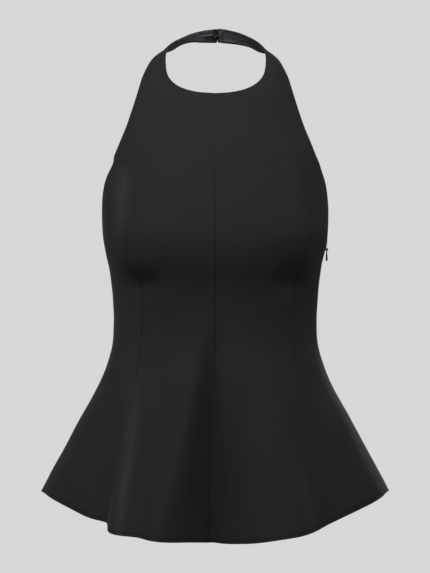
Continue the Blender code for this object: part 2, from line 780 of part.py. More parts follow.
def make_zip_tape():
    """Both tapes and the closed chain behind the side seam, open at the top for the slider."""
    drops = [ZIP_TOP_DROP, ZIP_CHAIN_DROP] + levels(*ZIP_LEVELS[0]) + levels(*ZIP_LEVELS[1])
    outer = []
    inner = []
    for drop in drops:
        radius = section_width(drop)
        front = []
        back = []
        for offset in ZIP_COLUMNS:
            angle = ZIP_ANGLE + math.degrees(offset / radius)
            normal = surface_normal(angle, drop)
            face = surface_point(angle, drop) - (CLOTH + ALLOWANCE) * normal
            depth = ZIP_COIL if abs(offset) < ZIP_COIL_HALF else ZIP_TAPE
            front.append(face)
            back.append(face - depth * normal)
        outer.append(front)
        inner.append(back)
    middle = range(1, len(ZIP_COLUMNS) - 2)
    return wall("zip_tape", outer, inner, TAPE, keep=lambda i, j: i > 0 or j not in middle)


def pivot_point():
    """Centre of the pull's pin, outside the side seam at the slider."""
    return Vector((surface_point(ZIP_ANGLE, SLIDER_DROP).x + PIVOT_OUT, -NAPE_TO_AXIS, -SLIDER_DROP))


def block(mesh, low, high):
    """Add a box between two corners."""
    corners = bmesh.ops.create_cube(mesh, size=1.0)["verts"]
    for vert in corners:
        for axis in range(3):
            vert.co[axis] = (low[axis] if vert.co[axis] < 0 else high[axis]) * MM


def block_object(name, low, high):
    mesh = bmesh.new()
    block(mesh, low, high)
    return add_object(name, mesh, LACQUER)


def join_solids(target, others):
    """Union helpers into the target and leave the helpers out of the model."""
    for helper in others:
        union = target.modifiers.new("join " + helper.name, "BOOLEAN")
        union.operation = "UNION"
        union.solver = "EXACT"
        union.object = helper
        helper.hide_render = True
        helper.display_type = "WIRE"


def ring_object(name, centre, inner, outer, width, sides=20):
    """A flat-sided ring whose axis runs along Y."""
    mesh = bmesh.new()
    loops = []
    for radius in (inner, outer):
        for half in (-0.5, 0.5):
            loop = []
            for k in range(sides):
                turn = math.tau * k / sides
                offset = Vector((math.cos(turn) * radius, half * width, math.sin(turn) * radius))
                loop.append(mesh.verts.new((centre + offset) * MM))
            loops.append(loop)
    inner_front, inner_back, outer_front, outer_back = loops
    for first, second in ((inner_front, inner_back), (inner_back, outer_back),
                          (outer_back, outer_front), (outer_front, inner_front)):
        for k in range(sides):
            n = (k + 1) % sides
            mesh.faces.new((first[k], first[n], second[n], second[k]))
    bmesh.ops.recalc_face_normals(mesh, faces=mesh.faces)
    return add_object(name, mesh, LACQUER)


def make_slider():
    """Slider: its body behind the seam, its neck in the slit and its loop round the pull's pin."""
    pivot = pivot_point()
    cloth_x = pivot.x - PIVOT_OUT
    y = pivot.y
    z = pivot.z
    slider = ring_object("zip_slider", pivot, LOOP_INNER, LOOP_OUTER, LOOP_WIDTH)
    half = 0.5 * LOOP_WIDTH
    loop_middle = 0.5 * (LOOP_INNER + LOOP_OUTER)
    neck = block_object("slider neck",
                        (cloth_x - SLIDER_NECK_DEPTH, y - half, z - SLIDER_NECK_FOOT),
                        (pivot.x - loop_middle, y + half, z + SLIDER_NECK_TOP))
    body = block_object("slider body",
                        (cloth_x - SLIDER_DEPTH[1], y - SLIDER_HALF_WIDTH, z - SLIDER_FOOT),
                        (cloth_x - SLIDER_DEPTH[0], y + SLIDER_HALF_WIDTH, z + SLIDER_TOP))
    join_solids(slider, (neck, body))
    return slider


def make_pull():
    """Pull tab hanging from its pin; the pin's centre is the object's origin and the hinge's axis."""
    pivot = pivot_point()
    mesh = bmesh.new()
    half = 0.5 * PULL_WIDTH
    rail = 0.5 * LOOP_WIDTH + PULL_PLAY
    eye_foot = LOOP_OUTER + PULL_DROP_PLAY
    right = [(thick, share * half, height) for share, height, thick in PULL_OUTLINE]
    outline = right + [(x, -y, z) for x, y, z in reversed(right)]
    hole = ((rail, -PULL_RIM), (rail, -eye_foot), (-rail, -eye_foot), (-rail, -PULL_RIM))
    faces = []
    for sign in (1, -1):
        ring = [mesh.verts.new(Vector((sign * x, y, z)) * MM) for x, y, z in outline]
        gap = [mesh.verts.new(Vector((sign * PULL_EYE_HALF, y, z)) * MM) for y, z in hole]
        faces.append((ring, gap))
    for ring, gap in faces:
        top_right, foot_right, foot_left, top_left = gap
        mesh.faces.new((ring[-1], ring[0], top_right, top_left))
        mesh.faces.new((ring[0], ring[1], foot_right, top_right))
        mesh.faces.new((ring[-2], ring[-1], top_left, foot_left))
        mesh.faces.new((ring[1], ring[-2], foot_left, foot_right))
        for k in range(1, len(right) - 1):
            mesh.faces.new((ring[k], ring[k + 1], ring[-k - 2], ring[-k - 1]))
    for index in (0, 1):
        front = faces[0][index]
        back = faces[1][index]
        for k in range(len(front)):
            n = (k + 1) % len(front)
            mesh.faces.new((front[k], front[n], back[n], back[k]))
    bmesh.ops.recalc_face_normals(mesh, faces=mesh.faces)
    pull = add_object("zip_pull", mesh, LACQUER)
    pull.location = pivot * MM
    return pull


def main():
    for obj in list(bpy.data.objects):
        bpy.data.objects.remove(obj, do_unlink=True)
    make_front("front_left", 1)
    make_front("front_right", -1)
    make_side_front("side_front_left", 1)
    make_side_front("side_front_right", -1)
    make_back("back_left", 1)
    make_back("back_right", -1)
    make_facing("neck_facing_left", 1, FACING_END_LEFT)
    make_facing("neck_facing_right", -1, FACING_END_RIGHT)
    make_hook()
    make_eye()
    make_zip_tape()
    make_slider()
    make_pull()


main()
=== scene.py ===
"""The looks of a halter neck top with a flared peplum.

Each cut piece is laid as a fine double-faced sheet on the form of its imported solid, and gets its
seams, turned edges, creases and finish here. Tables are in millimetres and degrees, meshes in
metres. The front faces -Y, the wearer's left is +X and the origin is the strap's middle at the nape.
"""

import math

import bmesh
import bpy
import numpy as np
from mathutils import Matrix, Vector


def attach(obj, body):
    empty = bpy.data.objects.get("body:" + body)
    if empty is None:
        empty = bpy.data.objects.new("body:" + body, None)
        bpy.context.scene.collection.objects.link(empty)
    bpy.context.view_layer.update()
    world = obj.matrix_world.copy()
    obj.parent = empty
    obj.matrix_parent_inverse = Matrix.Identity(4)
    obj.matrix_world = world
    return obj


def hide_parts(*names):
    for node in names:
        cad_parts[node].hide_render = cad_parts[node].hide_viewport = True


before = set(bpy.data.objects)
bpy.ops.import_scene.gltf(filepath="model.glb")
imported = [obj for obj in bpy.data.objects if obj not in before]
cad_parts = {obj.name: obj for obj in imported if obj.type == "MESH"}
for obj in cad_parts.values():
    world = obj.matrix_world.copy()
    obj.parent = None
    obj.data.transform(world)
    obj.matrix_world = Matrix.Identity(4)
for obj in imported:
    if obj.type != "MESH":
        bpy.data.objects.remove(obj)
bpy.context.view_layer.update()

MM = 0.001

# ---------------------------------------------------------------------------
# The worn form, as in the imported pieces
# ---------------------------------------------------------------------------

NAPE_TO_AXIS = 58.0
CLOTH = 1.6
WAIST_DROP = 383.0
HEM_DROP = 647.3
CLOSURE_OFFSET = 3.1
CLOSURE_GAP = -0.06        # the strap's rounded ends touch
CLOSURE_CORNER = 0.8       # how far each end is rounded back at its corners
CLOSURE_CORNER_TOP = 0.05  # and over which share of the strap's width
CLOSURE_CORNER_FOOT = 0.11
CLOSURE_LEAN = 0.4         # the closure's top end lies this much farther to the left than its middle

SECTIONS = (
    # name,            drop, width, front,  back, front_square, back_square
    ("collar bone",     80, 117.5,  69.0,  80.0, 2.20, 2.20),
    ("chest top",      100, 122.5,  78.0,  88.0, 2.25, 2.20),
    ("upper chest",    130, 131.6,  89.0,  93.0, 2.35, 2.25),
    ("chest",          150, 140.0,  95.5,  97.0, 2.40, 2.30),
    ("armhole",        170, 146.2, 101.5,  99.5, 2.40, 2.30),
    ("above bust",     216, 147.6, 113.5, 102.0, 2.55, 2.30),
    ("bust",           245, 147.0, 119.0, 102.0, 2.60, 2.30),
    ("low bust",       272, 145.2, 121.0, 100.2, 2.60, 2.30),
    ("bust foot",      293, 141.5, 118.5,  97.3, 2.50, 2.30),
    ("under bust",     311, 137.5, 112.5,  94.1, 2.40, 2.30),
    ("ribs",           329, 135.0, 104.5,  91.0, 2.30, 2.30),
    ("above waist",    351, 133.0,  98.0,  87.3, 2.25, 2.25),
    ("waist",          383, 131.8,  94.0,  84.0, 2.20, 2.20),
    ("below waist",    414, 134.6,  96.5,  88.0, 2.15, 2.15),
    ("high hip",       456, 149.0, 109.0, 108.0, 2.10, 2.10),
    ("hip",            500, 173.0, 124.0, 128.0, 2.05, 2.05),
    ("flare",          544, 196.5, 139.0, 145.0, 2.00, 2.00),
    ("low flare",      599, 226.2, 156.0, 165.0, 2.00, 2.00),
    ("hem",            650, 251.0, 170.0, 182.0, 2.00, 2.00),
)

BUST_FORMS = (
    # name,          angle, drop, angle_spread, drop_spread, left_height, right_height
    ("bust cup",      41.0, 268.0, 17.0, 30.0,  4.0,  4.0),
    ("bust foot",     50.0, 327.0,  9.5, 15.0, -5.0, -5.0),
    ("armhole",       74.0, 206.0, 14.0, 30.0,  0.0,  1.8),
    ("over slider",   90.0, 280.0, 15.0,  5.5,  0.7,  0.0),
    ("under slider",  90.0, 300.0, 15.0, 11.0, -1.1,  0.0),
)

FOLDS = (
    # name,                  start_angle, hem_angle, spread, height, start_drop
    ("centre front ridge",         -12.0,     -22.0,    9.5,   24.0, 388.0),
    ("centre front trough",          0.0,      -2.5,   12.0,  -60.0, 380.0),
    ("left trough flank",            8.0,      11.0,   14.0,  -14.0, 380.0),
    ("left front ridge",            40.0,      34.0,    9.0,    6.0, 380.0),
    ("left seam trough",            58.0,      50.0,    8.0,   -6.0, 400.0),
    ("left side ridge",             72.0,      70.0,    9.0,    6.0, 390.0),
    ("right front ridge",          -43.0,     -38.0,    5.5,   13.0, 385.0),
    ("right seam trough",          -55.0,     -47.5,    4.5,  -11.0, 400.0),
    ("right side ridge",           -72.0,     -68.0,   10.0,    4.0, 390.0),
    ("left back trough",           108.0,     106.0,   10.0,   -8.0, 390.0),
    ("left back ridge",            126.0,     128.0,   11.0,    9.0, 390.0),
    ("left inner trough",          146.0,     150.0,    9.0,   -8.0, 400.0),
    ("centre back ridge",          176.0,     172.0,   12.0,    8.0, 380.0),
    ("right inner trough",        -148.0,    -146.0,   10.0,   -9.0, 400.0),
    ("right back ridge",          -124.0,    -123.0,   11.0,   10.0, 390.0),
    ("right back trough",         -106.0,    -103.0,    9.0,   -7.0, 390.0),
)

FOLD_GROWTH = 1.15         # power by which a fold deepens towards the hem

PRINCESS_SEAMS = (
    # drop, left, right
    (168, 66.0, 66.0),
    (178, 63.8, 61.2),
    (190, 60.7, 58.5),
    (205, 58.8, 56.1),
    (225, 56.6, 53.5),
    (252, 53.6, 50.4),
    (270, 53.4, 49.7),
    (285, 53.4, 50.8),
    (300, 53.1, 52.0),
    (315, 53.6, 51.9),
    (345, 54.8, 51.5),
    (395, 56.5, 53.2),
    (427, 55.6, 53.2),
    (455, 52.6, 51.1),
    (485, 49.2, 48.0),
    (520, 45.6, 44.7),
    (552, 43.9, 43.3),
    (600, 42.3, 43.0),
    (650, 42.0, 43.0),
)

HEM_LINE = (
    # angle, left, right
    (0, 654.2, 654.2),
    (6, 653.2, 652.8),
    (13, 650.4, 647.8),
    (20, 647.4, 643.8),
    (28, 642.8, 639.9),
    (35, 638.8, 638.2),
    (42, 633.2, 635.0),
    (43.5, 631.6, 633.8),
    (45, 630.2, 628.2),
    (51, 624.3, 623.0),
    (56, 618.2, 616.8),
    (61, 612.0, 611.0),
    (66, 606.5, 606.0),
    (72, 601.2, 601.6),
    (80, 597.6, 598.2),
    (90, 598.3, 598.9),
    (100, 599.0, 599.6),
    (112, 605.5, 606.5),
    (126, 618.0, 620.0),
    (140, 630.0, 631.0),
    (155, 639.0, 638.5),
    (168, 643.0, 643.0),
    (180, 644.0, 644.0),
)

ARMHOLE_EDGE = (
    # share, drop
    (0.00, 168.0),
    (0.15, 178.0),
    (0.28, 188.0),
    (0.40, 199.0),
    (0.50, 212.0),
    (0.60, 231.0),
    (0.74, 255.0),
    (0.87, 270.0),
    (1.00, 277.0),
)

BACK_EDGE = (
    # angle, drop
    (90, 277.0),
    (110, 283.0),
    (135, 290.0),
    (160, 294.5),
    (180, 296.0),
)

CHEST_ROWS = (
    # centre_drop, armhole_drop, armhole_angle
    (192.0, 192.0, 70.0),
    (168.0, 168.0, 66.0),
    (142.0, 149.0, 65.0),
    (116.0, 130.0, 65.2),
)

STRAP_ROWS = (
    # name,             neck_x, neck_y, neck_z, arm_x, arm_y, arm_z, crown, left_sag, left_out, left_lift
    ("centre neck",        0.0, -73.0,  -89.3, 107.5, -48.5, -111.0,  12.0, 0.0, 0.0, 0.0),
    ("inner neck",        20.0, -71.0,  -87.7, 102.8, -44.0,  -95.0,   8.5, 0.0, 0.0, 0.0),
    ("front neck",        38.0, -63.5,  -82.9,  98.6, -37.5,  -80.0,   6.0, 0.0, 0.0, 0.0),
    ("neck corner",       52.5, -52.0,  -74.2,  94.4, -29.5,  -65.0,   4.5, 0.0, 0.2, 0.0),
    ("low side neck",     61.0, -39.0,  -61.5,  89.0, -22.0,  -52.5,   3.5, 0.0, 0.8, 0.0),
    ("side neck",         63.6, -24.0,  -44.0,  83.5, -12.5,  -41.5,   2.6, 0.0, 1.3, 0.0),
    ("neck crest",        63.4,  -7.0,  -31.0,  75.2,   0.0,  -32.3,   2.0, 0.0, 1.0, 0.0),
    ("behind crest",      61.8,   9.0,  -20.8,  67.3,  18.0,  -28.5,   1.6, 0.6, 0.4, 0.3),
    ("neck side back",    55.4,  28.0,  -12.2,  58.0,  36.0,  -23.1,   1.4, 1.8, 0.0, 0.8),
    ("back neck",         45.2,  42.0,   -5.1,  45.5,  49.5,  -14.2,   1.4, 3.0, 0.0, 1.2),
    ("near nape",         31.8,  51.0,    1.7,  31.0,  57.0,   -9.8,   1.3, 3.2, 0.0, 1.1),
    ("nape side",         15.0,  55.6,    6.3,  15.0,  59.6,  -10.0,   1.2, 0.9, 0.0, 1.1),
    ("nape",               0.0,  57.0,    8.5,   0.0,  60.3,  -10.1,   1.2,-0.6, 0.0, 0.4),
)

# ---------------------------------------------------------------------------
# Sizes of the finish
# ---------------------------------------------------------------------------

GRID_STEP = 2.6            # between the sheets' rows and columns
EDGE_STEPS = (0.0, 0.1, 0.28, 0.52, 0.8, 1.2, 1.8, 2.6, 3.6, 5.0)
CORNER_ROOM = 0.5          # kept clear beyond the fine steps beside a corner's row
TRIAL_ROWS = 401           # rows and columns by which a piece is measured before it is laid
TRIAL_COLUMNS = 121
SEAM_DIP = 0.22            # how far the cloth sinks towards a seam
SEAM_DIP_WIDTH = 2.4
SEAM_ROUNDING = 0.55       # of the cloth's outer face into a seam
SEAM_REACH = 4.0           # from a sewn edge, over which it counts as sewn
SEAM_END = 4.0             # over which the princess seam's lines end, below the armhole
SEAM_SHADOW = 0.55         # reach of the dark line of a seam, from its edge
# share by which the painted shade darkens the crepe
PAINTED_SHADE_DARKNESS = 0.5
SEAM_STRENGTH = (          # how strongly a seam is drawn, in depth and in its painted shade
    # drop, strength
    (170.0, 0.2),
    (235.0, 0.8),
    (275.0, 1.75),
    (400.0, 1.6),
    (470.0, 1.1),
)
ALLOWANCE_WIDTH = 12.0     # seam allowances, pressed open inside
ALLOWANCE_DEPTH = 0.7
OVERLOCK_INSET = 1.8       # stitches, from the edge of an allowance or of a piece
HEM_STITCH_INSET = 0.8
FACING_STITCH_INSET = 0.3
TAPE_STITCH_INSET = 1.8
HEM_GROOVE = 3.8           # the turned hem's line, above its edge
HEM_GROOVE_WIDTH = 0.8
HEM_GROOVE_DEPTH = 0.32
HEM_SHADOW = 1.4           # dark line drawn along the groove
HEM_EDGE_SHADOW = 1.3      # and along the turned edge itself
HEM_EDGE_WIDTH = 0.9
HEM_ALLOWANCE = 28.0
STRAP_ROLL = 2.1           # the cloth is rolled this far over the strap's edges
STRAP_ROLL_DEPTH = 1.5
STRAP_ROLL_START = 25.0    # length over which the roll grows
NECK_ROLL = {1: 1.0, -1: 0.15}     # share of it along the neck edge of the left and of the right half
RIM_SHADE = 1.3            # darkness drawn on the rolled rims
RIM_FADE = 0.8
THICK_FADE = 1.2           # the inner thickness starts this far from an edge
WEAR_REACH = 2.0           # of the rubbed edges
SLIT_DROPS = (280.4, 282.6, 288.2, 290.4)
SLIT_HALF = 1.25

# Names of the sheets' UV map and attributes
CLOTH_MAP = "cloth"
EDGE_WEAR = "edge_wear"
# attribute of painted shade: seams, hem groove and edge, strap rims and shaded stretches
PAINTED_SHADE_MARK = "seam_line"
# attribute of the crepe's painted highlight along listed lines
PAINTED_HIGHLIGHT = "lighter"
# attribute of the satin's painted highlight and painted shade
SATIN_LIGHT_AND_SHADE_MARK = "satin_tone"

# Colour of the crepe on the fronts and backs, on the side fronts and below the waist, and the heights
# between which it changes to the last. The side fronts' warmer, slightly lighter colour above the waist is a
# painted cast for the light that falls on them
BODICE_BLACK = (0.01275, 0.0111, 0.0133)
SIDE_BLACK = (0.0143, 0.0125, 0.0123)
PEPLUM_BLACK = (0.01255, 0.0109, 0.0131)
PEPLUM_BLEND = (-0.39, -0.49)
GRAIN_DARKENING = 0.28     # share of pure black in the grain's dark spots
GRAIN_LIGHTENING = 0.35    # share of twice the peplum's colour in its light spots
PAINTED_HIGHLIGHT_BY = 1.9           # colour of the painted highlight lines, times the peplum's
PAINTED_SHADE_BLACK = 0.1           # and of the painted shade of seams, hem, strap rims and shaded stretches, times the piece's own

# A soft line grows, and later fades, between these shares of its length
LINE_GROWTH = (-0.25, 0.3)
LINE_FADE = (0.7, 1.25)

# Creases in the cloth, drawn as seen from the front or from behind
CREASES = (
    # name,                   side,    x1,     z1,     x2,     z2, width, height
    ("hem pucker",         "front",  -7.0, -611.0,   -2.5, -633.0,   2.2,  0.8),
    ("hem pucker foot",    "front",  -1.5, -618.0,   -5.5, -640.0,   2.0, -0.7),
    ("right side ridge",   "front", -118.0, -190.0, -118.0, -262.0,  6.5,  1.7),
    ("right bust foot",    "front", -118.0, -301.0,  -68.0, -303.0, 21.0,  2.6),
    ("left bust foot",     "front",   84.0, -297.0,  122.0, -292.0, 18.0,  1.2),
)

# Painted highlight drawn over the crepe along these lines, in any light
PAINTED_HIGHLIGHT_LINES = (
    # name,                   side,    x1,     z1,     x2,     z2, width, strength
    ("right seam ridge",   "front",  -99.0, -462.0, -122.0, -645.0,  8.5,  1.0),
    ("right side ridge",   "front", -117.0, -190.0, -120.0, -268.0,  9.0,  1.0),
    ("left hip",           "front",  139.0, -452.0,  152.0, -512.0, 13.0,  0.3),
    ("left seam ridge",    "front",  105.0, -560.0,  124.0, -640.0,  7.0,  0.35),
    ("left chest",         "front",   92.0, -140.0,  103.0, -290.0, 16.0,  0.2),
    ("left bust side",     "front",  129.0, -284.0,  127.0, -330.0,  9.0,  0.35),
    ("right lap",          "front", -100.0, -330.0, -108.0, -470.0, 16.0,  0.15),
)

# And painted shade along these
PAINTED_SHADE_LINES = (
    # name,                   side,    x1,     z1,     x2,     z2, width, strength
    ("under right bust",   "front", -103.0, -322.0,  -72.0, -327.0, 14.0,  0.55),
    ("right armhole foot", "front", -142.0, -226.0, -140.0, -286.0,  9.0,  1.5),
    ("middle trough",      "front",  -10.0, -420.0,  -31.0, -700.0, 16.0,  0.65),
    ("middle ridge",       "front",   28.0, -440.0,   30.0, -600.0, 13.0,  0.35),
)


# ---------------------------------------------------------------------------
# Curves and the worn surface
# ---------------------------------------------------------------------------

def hermite(start, start_slope, end, end_slope, t):
    """Cubic from start to end."""
    t2 = t * t
    t3 = t2 * t
    return (start * (2 * t3 - 3 * t2 + 1) + start_slope * (t3 - 2 * t2 + t)
            + end * (3 * t2 - 2 * t3) + end_slope * (t3 - t2))


def table_curve(rows, x_column, y_column):
    """Return a smooth function, for arrays, through two columns of a table."""
    xs = np.array([row[x_column] for row in rows], dtype=float)
    ys = np.array([row[y_column] for row in rows], dtype=float)
    low = np.maximum(np.arange(len(xs)) - 1, 0)
    high = np.minimum(np.arange(len(xs)) + 1, len(xs) - 1)
    slopes = (ys[high] - ys[low]) / (xs[high] - xs[low])

    def value(x):
        x = np.clip(x, xs[0], xs[-1])
        i = np.clip(np.searchsorted(xs, x, side="right") - 1, 0, len(xs) - 2)
        step = xs[i + 1] - xs[i]
        return hermite(ys[i], slopes[i] * step, ys[i + 1], slopes[i + 1] * step, (x - xs[i]) / step)

    return value


section_width = table_curve(SECTIONS, 1, 2)
section_front = table_curve(SECTIONS, 1, 3)
section_back = table_curve(SECTIONS, 1, 4)
section_front_square = table_curve(SECTIONS, 1, 5)
section_back_square = table_curve(SECTIONS, 1, 6)
seam_angle_left = table_curve(PRINCESS_SEAMS, 0, 1)
seam_angle_right = table_curve(PRINCESS_SEAMS, 0, 2)
hem_line_left = table_curve(HEM_LINE, 0, 1)
hem_line_right = table_curve(HEM_LINE, 0, 2)
armhole_edge = table_curve(ARMHOLE_EDGE, 0, 1)
back_edge = table_curve(BACK_EDGE, 0, 1)


def bell(distance, spread):
    return np.exp(-(distance / spread) ** 2)


def smooth_step(low, high, value):
    """0 below low, 1 above high."""
    t = np.clip((value - low) / (high - low), 0.0, 1.0)
    return t * t * (3.0 - 2.0 * t)


def form_height(angle, drop):
    """Height of the bust and of the peplum's folds over the plain sections."""
    height = np.zeros(np.broadcast(angle, drop).shape)
    for _, form_angle, form_drop, angle_spread, drop_spread, left_form, right_form in BUST_FORMS:
        across = bell(np.abs(angle) - form_angle, angle_spread)
        height += np.where(angle > 0, left_form, right_form) * across * bell(drop - form_drop, drop_spread)
    for _, start_angle, hem_angle, spread, fold, start in FOLDS:
        share = np.clip((drop - start) / (HEM_DROP - start), 0.0001, None)
        middle = start_angle + (hem_angle - start_angle) * share
        turn = (angle - middle + 180.0) % 360.0 - 180.0
        height += fold * share ** FOLD_GROWTH * bell(turn, spread * (0.5 + 0.5 * share))
    return height


def surface(angle, drop):
    """Points on the outer face of the cloth, by angle round the axis and drop below the nape."""
    turn = np.radians(angle)
    sine = np.sin(turn)
    cosine = np.cos(turn)
    in_front = cosine > 0
    depth = np.where(in_front, section_front(drop), section_back(drop))
    square = np.where(in_front, section_front_square(drop), section_back_square(drop))
    reach = np.abs(sine / section_width(drop)) ** square + np.abs(cosine / depth) ** square
    radius = reach ** (-1.0 / square) + form_height(angle, drop)
    drop = np.broadcast_to(drop, radius.shape)
    return np.stack([radius * sine, -NAPE_TO_AXIS - radius * cosine, -drop], axis=-1)


def hem_line(angle):
    """Drop of the hem at an angle."""
    return np.where(angle > 0, hem_line_left(angle), hem_line_right(-angle))


def hem_level(angle, level):
    """Drop of a row at an angle: level above the waist, fanned out below it to the hem line."""
    share = (level - WAIST_DROP) / (HEM_DROP - WAIST_DROP)
    return np.where(level <= WAIST_DROP, level, WAIST_DROP + share * (hem_line(angle) - WAIST_DROP))


def seam_angle(side, drop):
    """Angle of the princess seam: side is 1 on the left and -1 on the right."""
    return side * (seam_angle_left(drop) if side > 0 else seam_angle_right(drop))


def side_slit(side, drop):
    """Half width of the side seam's opening, in degrees: only the zip slider's neck needs one."""
    if side < 0:
        return 0.0 * drop
    opened = smooth_step(*SLIT_DROPS[:2], drop) - smooth_step(*SLIT_DROPS[2:], drop)
    return np.degrees(SLIT_HALF * opened / section_width(drop))


# ---------------------------------------------------------------------------
# Where each piece lies: share runs across it, and station up it from the hem
# ---------------------------------------------------------------------------

LOWER_FRONT = HEM_DROP - CHEST_ROWS[1][0]     # station at which the front's lower part ends
SIDE_NECK_ROW = len(CHEST_ROWS) + 5           # control row at which the roll and the facing start


def strap_edges(row, side):
    """Neck end and armhole end of a strap row, as if on the left."""
    _, neck_x, neck_y, neck_z, arm_x, arm_y, arm_z, _, left_sag, left_out, left_lift = row
    if side > 0:
        arm_z -= left_sag
        neck_x += left_out
        neck_z += left_lift
    neck = np.array((neck_x, neck_y - NAPE_TO_AXIS, neck_z))
    return neck, np.array((arm_x, arm_y - NAPE_TO_AXIS, arm_z))


def strap_crown(index, side):
    """How far, and which way, the middle of a strap row rises out of its straight line."""
    neck, arm = strap_edges(STRAP_ROWS[index], side)
    before = sum(strap_edges(STRAP_ROWS[max(index - 1, 0)], side))
    after = sum(strap_edges(STRAP_ROWS[min(index + 1, len(STRAP_ROWS) - 1)], side))
    outward = np.cross(arm - neck, after - before)
    return STRAP_ROWS[index][7] * outward / np.linalg.norm(outward)


def control_row(index, share, side):
    """Points of one control row of the upper front, at the given shares from neck to armhole."""
    if index < len(CHEST_ROWS):
        centre_drop, armhole_drop, armhole_angle = CHEST_ROWS[index]
        return surface(side * armhole_angle * share, centre_drop + (armhole_drop - centre_drop) * share)
    row = index - len(CHEST_ROWS)
    neck, arm = strap_edges(STRAP_ROWS[row], side)
    part = share[..., None]
    points = neck + (arm - neck) * part + strap_crown(row, side) * 4.0 * part * (1.0 - part)
    if row == len(STRAP_ROWS) - 1:
        rounding = bell(share, CLOSURE_CORNER_TOP) + bell(1.0 - share, CLOSURE_CORNER_FOOT)
        points[..., 0] += 0.5 * CLOSURE_GAP + CLOSURE_CORNER * rounding
        points[..., 0] += side * (CLOSURE_OFFSET + CLOSURE_LEAN * (1.0 - 2.0 * share))
    points[..., 0] *= side
    return points


def control_stations(side):
    """Station of each control row of the upper front, by the length of its middle line."""
    middle = [control_row(i, np.array([0.5]), side)[0] for i in range(len(CHEST_ROWS) + len(STRAP_ROWS))]
    stations = [0.0]
    for before, after in zip(middle, middle[1:]):
        stations.append(stations[-1] + np.linalg.norm(after - before))
    return np.array(stations) - stations[1] + LOWER_FRONT


def upper_front(share, station, side):
    """Points of the front above its lower part: smooth curves from control row to control row."""
    run = control_stations(side)
    points = np.zeros(share.shape + (3,))
    centre_neck = len(CHEST_ROWS)
    for k in range(1, len(run) - 1):
        last = k == len(run) - 2
        rows = (station >= run[k]) & ((station < run[k + 1]) | last)
        if not rows.any():
            continue
        part = share[rows]
        near = {i: control_row(i, part, side) for i in range(k - 1, min(k + 3, len(run)))}
        step = run[k + 1] - run[k]

        def slope(i):
            high = min(i + 1, len(run) - 1)
            smooth = (near[high] - near[i - 1]) * (step / (run[high] - run[i - 1]))
            if i != centre_neck:
                return smooth
            corner = near[k + 1] - near[k]
            return corner + (smooth - corner) * np.minimum(3.0 * part, 1.0)[..., None]

        t = ((station[rows] - run[k]) / step)[:, None, None]
        points[rows] = hermite(near[k], slope(k), near[k + 1], slope(k + 1), t)
    return points


def lower_front(share, station, side):
    """Points of the front below the armhole, from centre front to the princess seam."""
    level = (HEM_DROP - station)[:, None]
    foot_angle = seam_angle(side, HEM_DROP)
    seam_drop = hem_level(foot_angle, level)
    return surface(seam_angle(side, seam_drop) * share, hem_level(foot_angle * share, level))


def front_place(share, station, side):
    lower = station < LOWER_FRONT
    points = np.zeros(share.shape + (3,))
    points[lower] = lower_front(share[lower], station[lower], side)
    points[~lower] = upper_front(share[~lower], station[~lower], side)
    return points


def side_front_place(share, station, side):
    """Points between the princess seam and the side seam; station runs from 0 to 1."""
    seam_foot = abs(float(seam_angle(side, HEM_DROP)))
    foot = hem_line(side * (seam_foot + (90.0 - seam_foot) * share))
    top = armhole_edge(share)
    drop = foot + (top - foot) * station[:, None]
    seam = seam_angle(side, drop)
    end = side * (90.0 - side_slit(side, drop))
    return surface(seam + (end - seam) * share, drop)


def back_place(share, station, side):
    """Points between the side seam and centre back; station runs from 0 to 1."""
    angle = 90.0 + 90.0 * share
    foot = hem_line(side * angle)
    drop = foot + (back_edge(angle) - foot) * station[:, None]
    slit = side_slit(side, drop) * (1.0 - share)
    return surface(side * (angle + slit), drop)


# ---------------------------------------------------------------------------
# Laying a grid of even steps, with fine steps beside every edge
# ---------------------------------------------------------------------------

def run_length(points, axis):
    """Distance run along rows or columns of points."""
    steps = np.linalg.norm(np.diff(points, axis=axis), axis=-1)
    start = np.zeros_like(np.take(steps, [0], axis=axis))
    return np.concatenate([start, np.cumsum(steps, axis=axis)], axis=axis)


def stops(length, count):
    """Distances over a length, or over each of several: fine at both ends, even between."""
    length = np.atleast_1d(length)[:, None]
    edge = np.array(EDGE_STEPS)[None, :] * np.minimum(1.0, length / (3.0 * EDGE_STEPS[-1]))
    even = np.linspace(0.0, 1.0, count + 1)[None, 1:-1]
    middle = edge[:, -1:] + (length - 2.0 * edge[:, -1:]) * even
    return np.concatenate([edge, middle, (length - edge)[:, ::-1]], axis=1)


def lay(place, side, start, end, step=GRID_STEP, corner=None):
    """Even grid of a piece: returns its points, and its distance across and up, in millimetres.
    corner is a station at which an edge turns a corner, which gets a row of its own."""
    trial = np.linspace(start, end, TRIAL_ROWS)
    middle = place(np.full((TRIAL_ROWS, 1), 0.5), trial, side)
    height = run_length(middle, 0)[:, 0]
    rows = stops(height[-1], int(height[-1] / step))[0]
    if corner is not None:
        turn = np.interp(corner, trial, height)
        near = turn + np.concatenate([-np.array(EDGE_STEPS[:0:-1]), EDGE_STEPS])
        kept = rows[np.abs(rows - turn) > EDGE_STEPS[-1] + CORNER_ROOM]
        rows = np.sort(np.concatenate([kept, near]))
    stations = np.interp(rows, height, trial)
    shares = np.linspace(0.0, 1.0, TRIAL_COLUMNS)
    shares = np.broadcast_to(shares, (len(stations), TRIAL_COLUMNS))
    across = run_length(place(shares, stations, side), 1)
    width = across[:, -1]
    targets = stops(width, int(width.max() / step))
    found = np.array([np.interp(t, a, s) for t, a, s in zip(targets, across, shares)])
    points = place(found, stations, side)
    return points, run_length(points, 1), run_length(points, 0), stations


def to_edge(across, up):
    """Distance of each point of a laid grid from the nearest of its four edges."""
    sideways = np.minimum(across, across[:, -1:] - across)
    return np.minimum(sideways, np.minimum(up, up[-1:] - up))


